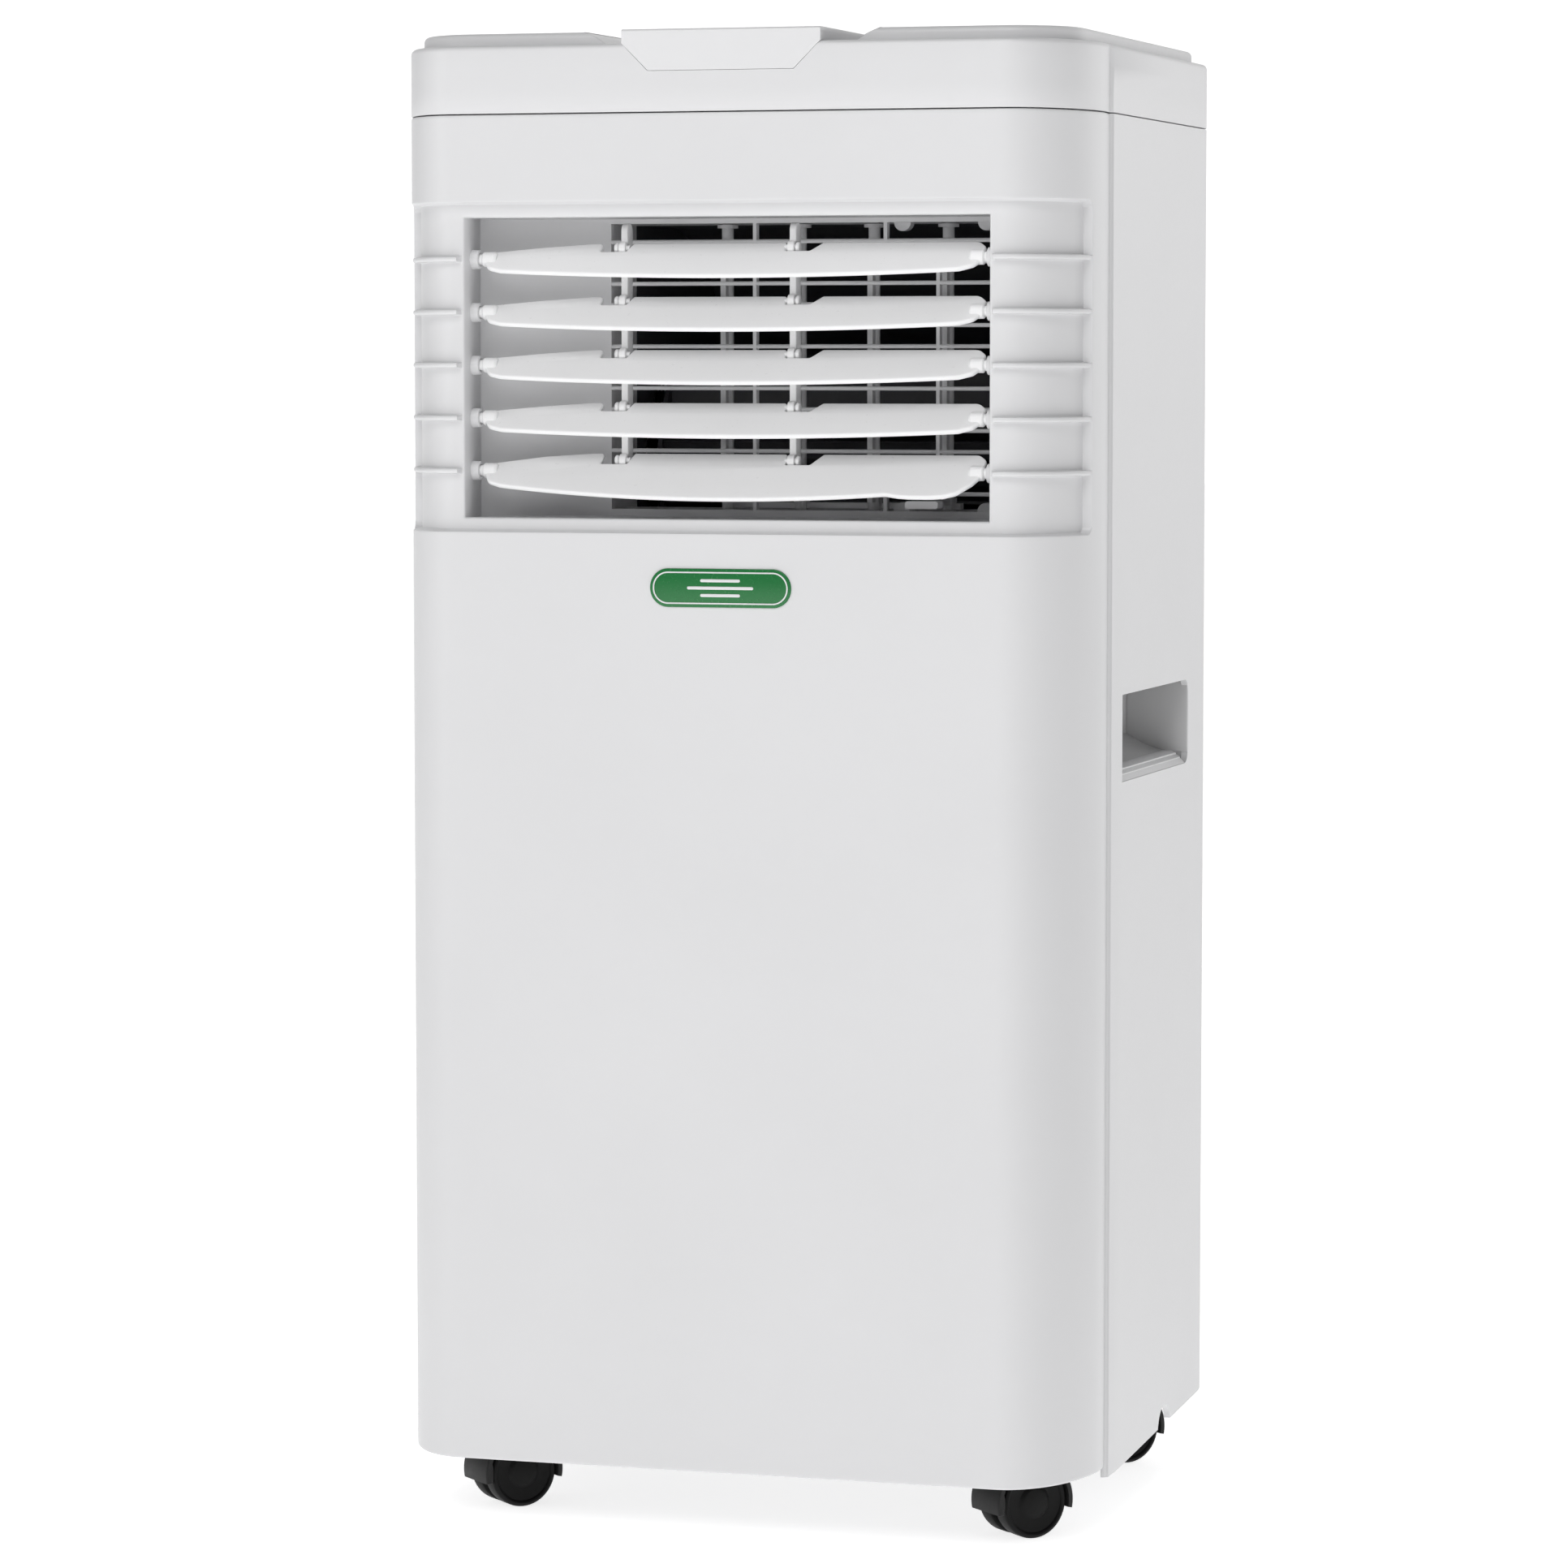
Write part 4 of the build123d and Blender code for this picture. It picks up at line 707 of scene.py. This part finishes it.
# ------------------------------------------------------------------ hand holds
def hold_cup(face, deep):
    """The pocket behind one mouth: a stepped floor, a back and a roof above the top lip."""
    low, high = HOLD_Z
    roof = high + HOLD_RISE
    section = [(face, low - CUP_WALL), (face, low + 0.2), (face - 2.2, low + 0.5),
               (face - 2.6, low + 2.2), (face - 5.2, low + 2.6), (face - 5.6, low + 4.4),
               (deep + 12.0, low + 8.0), (deep + CUP_WALL, low + 13.0),
               (deep + CUP_WALL, roof - CUP_WALL), (face - 2.5, roof - CUP_WALL),
               (face - 2.5, high), (face, high), (face, roof), (deep, roof),
               (deep, low - CUP_WALL)]
    n = len(section)
    stations = [HOLD_Y[0], HOLD_Y[0] + 0.6, HOLD_Y[1] - 0.6, HOLD_Y[1]]
    verts = [(x, y, z) for y in stations for x, z in section]
    faces = []
    for r in range(len(stations) - 1):
        for i in range(n):
            j = (i + 1) % n
            faces.append((r * n + i, r * n + j, (r + 1) * n + j, (r + 1) * n + i))
    faces.append(tuple(range(n - 1, -1, -1)))
    faces.append(tuple(range((len(stations) - 1) * n, len(stations) * n)))
    ends = []
    for y0, y1 in ((HOLD_Y[0] - CUP_WALL, HOLD_Y[0] + 0.01),
                   (HOLD_Y[1] - 0.01, HOLD_Y[1] + CUP_WALL)):
        ends.append(box_edges((deep, y0, low - CUP_WALL), (face, y1, roof), 0.3))
    return merge((verts, faces), *ends)


def hand_holds():
    """White pockets painted grey as painted shade, with a stepped white sill; the fingers hook up behind the top
    lip.
    """
    face = HALF_W - CUP_WALL
    deep = face - HOLD_DEEP
    low, high = HOLD_Z
    cup = hold_cup(face, deep)
    sill = [(HALF_W - 0.1, low + 0.15), (HALF_W - 2.3, low + 2.4), (HALF_W - 2.3, low + 2.9),
            (HALF_W - 4.3, low + 4.2), (HALF_W - 4.3, low + 4.8), (HALF_W - 6.5, low + 5.8),
            (HALF_W - 10.0, low + 5.8), (HALF_W - 10.0, low + 0.15)]
    strip = slab(sill, [(-HOLD_Y[1] + 6.0, 0.0), (-HOLD_Y[0] - 0.1, 0.0)])
    # A thin sheet over the rear end wall of each pocket, grey as painted shade.
    end_shade_sheet = box_edges((deep + CUP_WALL + 0.1, HOLD_Y[1] - 0.9, low + 5.0),
                      (HALF_W - 0.15, HOLD_Y[1] - 0.1, high - 0.2), 0.1)
    for name, side in (("left", -1), ("right", 1)):
        flip = Matrix.Scale(side, 4, (1, 0, 0))
        nodes = ["handle_cups"] if side > 0 else []
        add_piece(f"hand_hold_{name}", *moved(cup, flip), "cabinet", "hold_grey", nodes,
                  slot_name="casing_white")
        add_piece(f"hold_sill_{name}", *moved(strip, flip @ STAND), "cabinet", "casing_white")
        add_piece(f"hold_end_shade_{name}", *moved(end_shade_sheet, flip), "cabinet", "hold_grey",
                  slot_name="casing_white")


# ------------------------------------------------------------------ casters
def arc_points(radius, start, stop, count):
    """Corners for rounded() along an arc, none of them rounded further."""
    return [(radius * math.cos(math.radians(a)), radius * math.sin(math.radians(a)), 0.0)
            for a in np.linspace(start, stop, count)]


def caster_fork():
    """Fender, web and front brow about the axle, with the axle along the local Z."""
    inner, outer = FENDER_R
    w = FENDER_HALF_W
    dip = math.degrees(math.asin(FENDER_DIP / outer))
    arc = [(inner, -w), (19.0, -w), (19.45, -11.1), (outer, -10.4), (outer, 10.4),
           (19.45, 11.1), (19.0, w), (inner, w)]
    fender = lathe(arc, 56, 180.0 + 2 * dip, -dip)
    web = arc_points(18.3, -dip, 180 + dip, 40) + [(-9.6, -FENDER_DIP, 1.5)]
    web += arc_points(8.6, 210, 330, 14) + [(9.6, -FENDER_DIP, 1.5)]
    web = slab(rounded(web), round_profile(-1.6, 1.6, 0.4, 3))
    brow = [(-19.3, -4.2, 1.0), (-15.6, -4.2, 0.6), (-15.6, 3.0, 1.5), (-17.0, 9.0, 1.5),
            (-19.3, 3.0, 2.0)]
    brow = slab(rounded(brow), round_profile(-11.4, 11.4, 0.8, 3))
    return fender, web, brow


def caster(corner, heading):
    """Fender over twin wheels, with a web between them, a collar and a swivel stem."""
    stem = JOINT_AT[f"{corner}_swivel"]
    turn = Matrix.Rotation(math.radians(heading), 4, "Z")
    spot = Matrix.Translation((stem.x, stem.y, 0)) @ turn
    hub = spot @ Matrix.Translation((AXLE_BACK, 0, WHEEL_R)) @ STAND
    collar = lathe([(0.0, 33.0), (9.0, 33.0), (9.6, 33.6), (9.6, 37.9), (9.0, 38.6), (5.45, 38.7),
                    (5.45, 55.0), (4.8, 55.9), (0.0, 56.0)], 40)
    parts = [moved(part, hub) for part in caster_fork()] + [moved(collar, spot)]
    add_piece(f"{corner}_fork", *merge(*parts), f"{corner}_caster", "caster_black",
              [f"{corner}_hood"])
    tyre = [(2.6, 2.4), (14.8, 2.4), (15.7, 2.8), (16.0, 3.6), (16.0, 9.6), (15.8, 10.4),
            (15.2, 11.0), (14.4, 11.2), (13.7, 10.9), (13.3, 10.3), (7.6, 9.9), (7.0, 10.3),
            (6.4, 10.9), (5.6, 11.2), (0.0, 11.2), (0.0, 9.7), (2.6, 9.7)]
    discs = []
    for side in (-1, 1):
        disc = lathe([(r, side * h) for r, h in tyre], 56)
        discs.append(moved(disc, hub))
    add_piece(f"{corner}_discs", *merge(*discs), f"{corner}_wheels", "wheel_black",
              [f"{corner}_wheels"])


# ------------------------------------------------------------------ top cover
def cover_ring(inset, strip):
    """Plan of the cover at one inset, with the step where the side joint runs up it."""
    rx, ry = CORNER
    fade = max(0.0, 1.0 - inset / RIM_R)
    half = [(x, FRONT_Y + inset) for x in np.linspace(0.0, HALF_W - rx, 8)[1:-1]]
    for t in np.radians(np.linspace(0.0, 90.0, 41)):
        y = FRONT_Y + ry - (ry - inset) * math.cos(t)
        half.append((HALF_W - rx + (rx - inset) * math.sin(t) - fade * tuck(y), y))
    half += [(HALF_W - inset - fade * TUCK, SEAM_Y), (HALF_W - inset - fade * TUCK, SEAM_Y + 0.4),
             (HALF_W - inset, SEAM_Y + 0.4 + strip)]
    back = -FRONT_Y - REAR_R
    for t in np.radians(np.linspace(0.0, 90.0, 13)):
        half.append((HALF_W - REAR_R + (REAR_R - inset) * math.cos(t),
                     back + (REAR_R - inset) * math.sin(t)))
    return half + [(-x, y) for x, y in half[::-1]]


def carve(base, *tools):
    """The base with each tool cut out of it, all as closed meshes in millimetres."""
    made = []
    for k, (verts, faces) in enumerate((base, *tools)):
        mesh = bpy.data.meshes.new(f"carve_{k}")
        mesh.from_pydata([tuple(v) for v in verts], [], faces)
        bm = bmesh.new()
        bm.from_mesh(mesh)
        bmesh.ops.remove_doubles(bm, verts=bm.verts, dist=0.001)
        bmesh.ops.recalc_face_normals(bm, faces=bm.faces)
        bm.to_mesh(mesh)
        bm.free()
        obj = bpy.data.objects.new(f"carve_{k}", mesh)
        bpy.context.scene.collection.objects.link(obj)
        made.append(obj)
    for tool in made[1:]:
        cut = made[0].modifiers.new("cut", "BOOLEAN")
        cut.operation = "DIFFERENCE"
        cut.solver = "EXACT"
        cut.object = tool
    graph = bpy.context.evaluated_depsgraph_get()
    result = made[0].evaluated_get(graph).to_mesh()
    verts = [tuple(v.co) for v in result.vertices]
    faces = [tuple(p.vertices) for p in result.polygons]
    for obj in made:
        bpy.data.objects.remove(obj)
    return verts, faces


def cover_body():
    """The cover as one closed lump with a soft rim, before it is hollowed."""
    z0, z1 = COVER_Z
    levels = [(z0, 0.35), (z0 + 0.12, 0.1), (z0 + 0.4, 0.0), (z0 + 10.0, 0.0), (z0 + 20.0, 0.0)]
    for k in range(7):
        a = math.pi / 2 * k / 6
        levels.append((z1 - RIM_R * (1 - math.sin(a)), RIM_R * (1 - math.cos(a))))
    verts = []
    for z, inset in levels:
        strip = 0.9 + 1.3 * (z - z0) / (z1 - z0)
        verts += [(x, y, z) for x, y in cover_ring(inset, strip)]
    n = len(verts) // len(levels)
    faces = [tuple(range(n)), tuple(range(len(verts) - n, len(verts)))]
    for r in range(len(levels) - 1):
        for i in range(n):
            j = (i + 1) % n
            faces.append((r * n + i, r * n + j, (r + 1) * n + j, (r + 1) * n + i))
    return verts, faces


def cover_pad():
    """The right-hand pad, its inner end leaning out towards the foot."""
    z1 = COVER_Z[1]
    foot, crest = PAD_SLOPE_X
    outer = HALF_W - PAD_INSET
    back = -FRONT_Y - PAD_INSET
    pad = rounded([(foot, -120.0, 1.0), (outer, -120.0, 32.0), (outer, back, 18.0),
                   (foot, back, 1.0)], 6.0)
    verts, faces = slab(pad, round_profile(z1 - 1.5, PAD_TOP, 2.6, 5, 0.05))
    lean = (crest - foot) / (PAD_TOP - z1)
    verts = [(x + lean * max(0.0, z - z1) * max(0.0, 1 - (x - foot) / 25.0), y, z)
             for x, y, z in verts]
    return verts, faces


def top_cover():
    """Shell with a notch for the console, two raised pads, and a tray that lines the notch."""
    z0, z1 = COVER_Z
    hollow = slab(cover_ring(COVER_WALL, 2.0), [(z0 - 1.0, 0.0), (z1 - 3.0, 0.0)])
    foot, w = CONSOLE_HALF_W
    low, rear = CONSOLE_FOOT_Z, CONSOLE_REAR_Y
    notch = [(-foot, low), (foot, low), (w, z1), (w, PAD_TOP + 1), (-w, PAD_TOP + 1), (-w, z1)]
    notch = moved(slab(notch, [(-rear, 0.0), (-FRONT_Y + 5.0, 0.0)]), STAND)
    parts = [carve(cover_body(), hollow, notch)]
    for side in (-1, 1):
        parts.append(moved(cover_pad(), Matrix.Scale(side, 4, (1, 0, 0))))
    add_piece("top_cover_shell", *merge(*parts), "cabinet", "casing_white", ["top_cover"],
              sharp=38.0)
    tray = [(-foot - 3, low - 3), (foot + 3, low - 3), (w + 3, z1 - 1.5), (-w - 3, z1 - 1.5)]
    tray = moved(slab(tray, [(-rear - 3.0, 0.0), (-FRONT_Y - 4.8, 0.0)]), STAND)
    add_piece("console_tray", *carve(tray, notch), "cabinet", "casing_white")


# ------------------------------------------------------------------ marks on the console
def mark_bar(half_w, y0, y1, top, rise=MARK_RISE):
    return box_edges((-half_w, y0, top - MARK_SUNK), (half_w, y1, top + rise), 0.05)


def button_mark(name, top):
    """A ring and stroke, three bars, or an arrow head, about the button's middle."""
    if name == "power_button":
        ring = lathe([(2.1, top - MARK_SUNK), (2.9, top - MARK_SUNK), (2.9, top + MARK_RISE),
                      (2.1, top + MARK_RISE)], 40)
        return [ring, mark_bar(0.35, 0.6, 4.0, top, 0.08)]
    if name in ("mode_button", "fan_button"):
        widths = (2.6, 2.6, 2.6) if name == "mode_button" else (1.2, 1.2 + 0.9, 1.2 + 0.9 * 2)
        return [mark_bar(w, 1.9 * (k - 1) - 0.35, 1.9 * (k - 1) + 0.35, top)
                for k, w in enumerate(widths)]
    arm = mark_bar(0.35, -2.0, 2.0, top)
    tip = 1 if name == "warmer_button" else -1
    return [moved(arm, Matrix.Translation((1.25 * k, 0, 0))
                  @ Matrix.Rotation(math.radians(40 * k) * tip, 4, "Z")) for k in (-1, 1)]


def console_marks():
    """Raised marks on the buttons, and two seven-segment digits on the pane."""
    top = high_mm("power_button").z
    for name in BUTTONS:
        low, high = low_mm(name), high_mm(name)
        spot = Matrix.Translation(((low.x + high.x) / 2, (low.y + high.y) / 2, 0))
        marks = [moved(mark, spot) for mark in button_mark(name, top)]
        add_piece(f"{name}_mark", *merge(*marks), name, "hold_grey", slot_name="duct_grey")
    low, high = low_mm("display_window"), high_mm("display_window")
    middle = (low.y + high.y) / 2
    digits = []
    for place, lit in ((-0.5, "abged"), (0.5, "fgbc")):
        for key in lit:
            cx, cy, upright = SEGMENTS[key]
            w, h = (0.6, 3.6) if upright else (3.2, 0.6)
            x, y = place * DIGIT_PITCH + cx * 4.0, middle + cy * 8.0
            digits.append(box_edges((x - w, y - h, high.z - 0.3), (x + w, y + h, high.z + 0.03),
                                    0.04))
    add_piece("display_digits", *merge(*digits), "cabinet", "hold_grey", slot_name="display_black")


# ------------------------------------------------------------------ stage
def area_light(name, at, aim, size, watts):
    data = bpy.data.lights.new(name, "AREA")
    data.shape = "SQUARE"
    data.size = size
    data.energy = watts
    lamp = bpy.data.objects.new(name, data)
    lamp.location = at
    lamp.rotation_euler = (Vector(aim) - Vector(at)).to_track_quat("-Z", "Y").to_euler()
    bpy.context.scene.collection.objects.link(lamp)


def make_floor():
    """A plain pale floor, matt and faintly glowing so that it stays white."""
    h = FLOOR_HALF
    mesh = bpy.data.meshes.new("floor")
    mesh.from_pydata([(-h, -h, 0), (h, -h, 0), (h, h, 0), (-h, h, 0)], [], [(0, 1, 2, 3)])
    floor = bpy.data.objects.new("floor", mesh)
    bpy.context.scene.collection.objects.link(floor)
    mat, tree, shader, at = node_tree("floor_pale")
    stops = [(0.3, (0.93, 0.93, 0.93)), (0.7, (0.95, 0.95, 0.95))]
    tree.links.new(ramp(tree, noise(tree, at, 1.5), stops), shader.inputs["Base Color"])
    shader.inputs["Roughness"].default_value = 0.9
    shader.inputs["Specular IOR Level"].default_value = 0.1
    shader.inputs["Emission Color"].default_value = (1.0, 1.0, 1.0, 1.0)
    shader.inputs["Emission Strength"].default_value = FLOOR_GLOW
    mesh.materials.append(mat)


def make_studio():
    """A dim sky with a bright wall behind the object, and three soft lamps."""
    world = bpy.data.worlds.new("studio")
    bpy.context.scene.world = world
    world.use_nodes = True
    tree = world.node_tree
    sky = tree.nodes["Background"]
    where = tree.nodes.new("ShaderNodeTexCoord")
    split = tree.nodes.new("ShaderNodeSeparateXYZ")
    tree.links.new(where.outputs["Generated"], split.inputs["Vector"])
    tree.links.new(remap(tree, split.outputs["Y"], *SKY_BAND, *SKY_STRENGTH),
                   sky.inputs["Strength"])
    sky.inputs["Color"].default_value = (1.0, 1.0, 1.0, 1.0)
    area_light("key", (0.1, -2.5, 2.4), (0, 0, 0.40), 1.8, 39.0)
    area_light("fill", (-2.2, -1.8, 0.9), (0, 0, 0.35), 1.2, 6.0)
    area_light("rim", (1.9, 2.4, 1.2), (0.1, 0, 0.35), 1.6, 8.0)
    bpy.context.scene.view_settings.view_transform = "Standard"


make_camera()
make_floor()
make_studio()
for node in frame["nodes"]:
    finish_cad(node)
front_panel()
pin_clips()
for index in range(len(LOUVER_Z)):
    louver(index)
link_bars()
badge()
hand_holds()
for corner, heading in CASTER_TURN.items():
    caster(corner, heading)
top_cover()
console_marks()
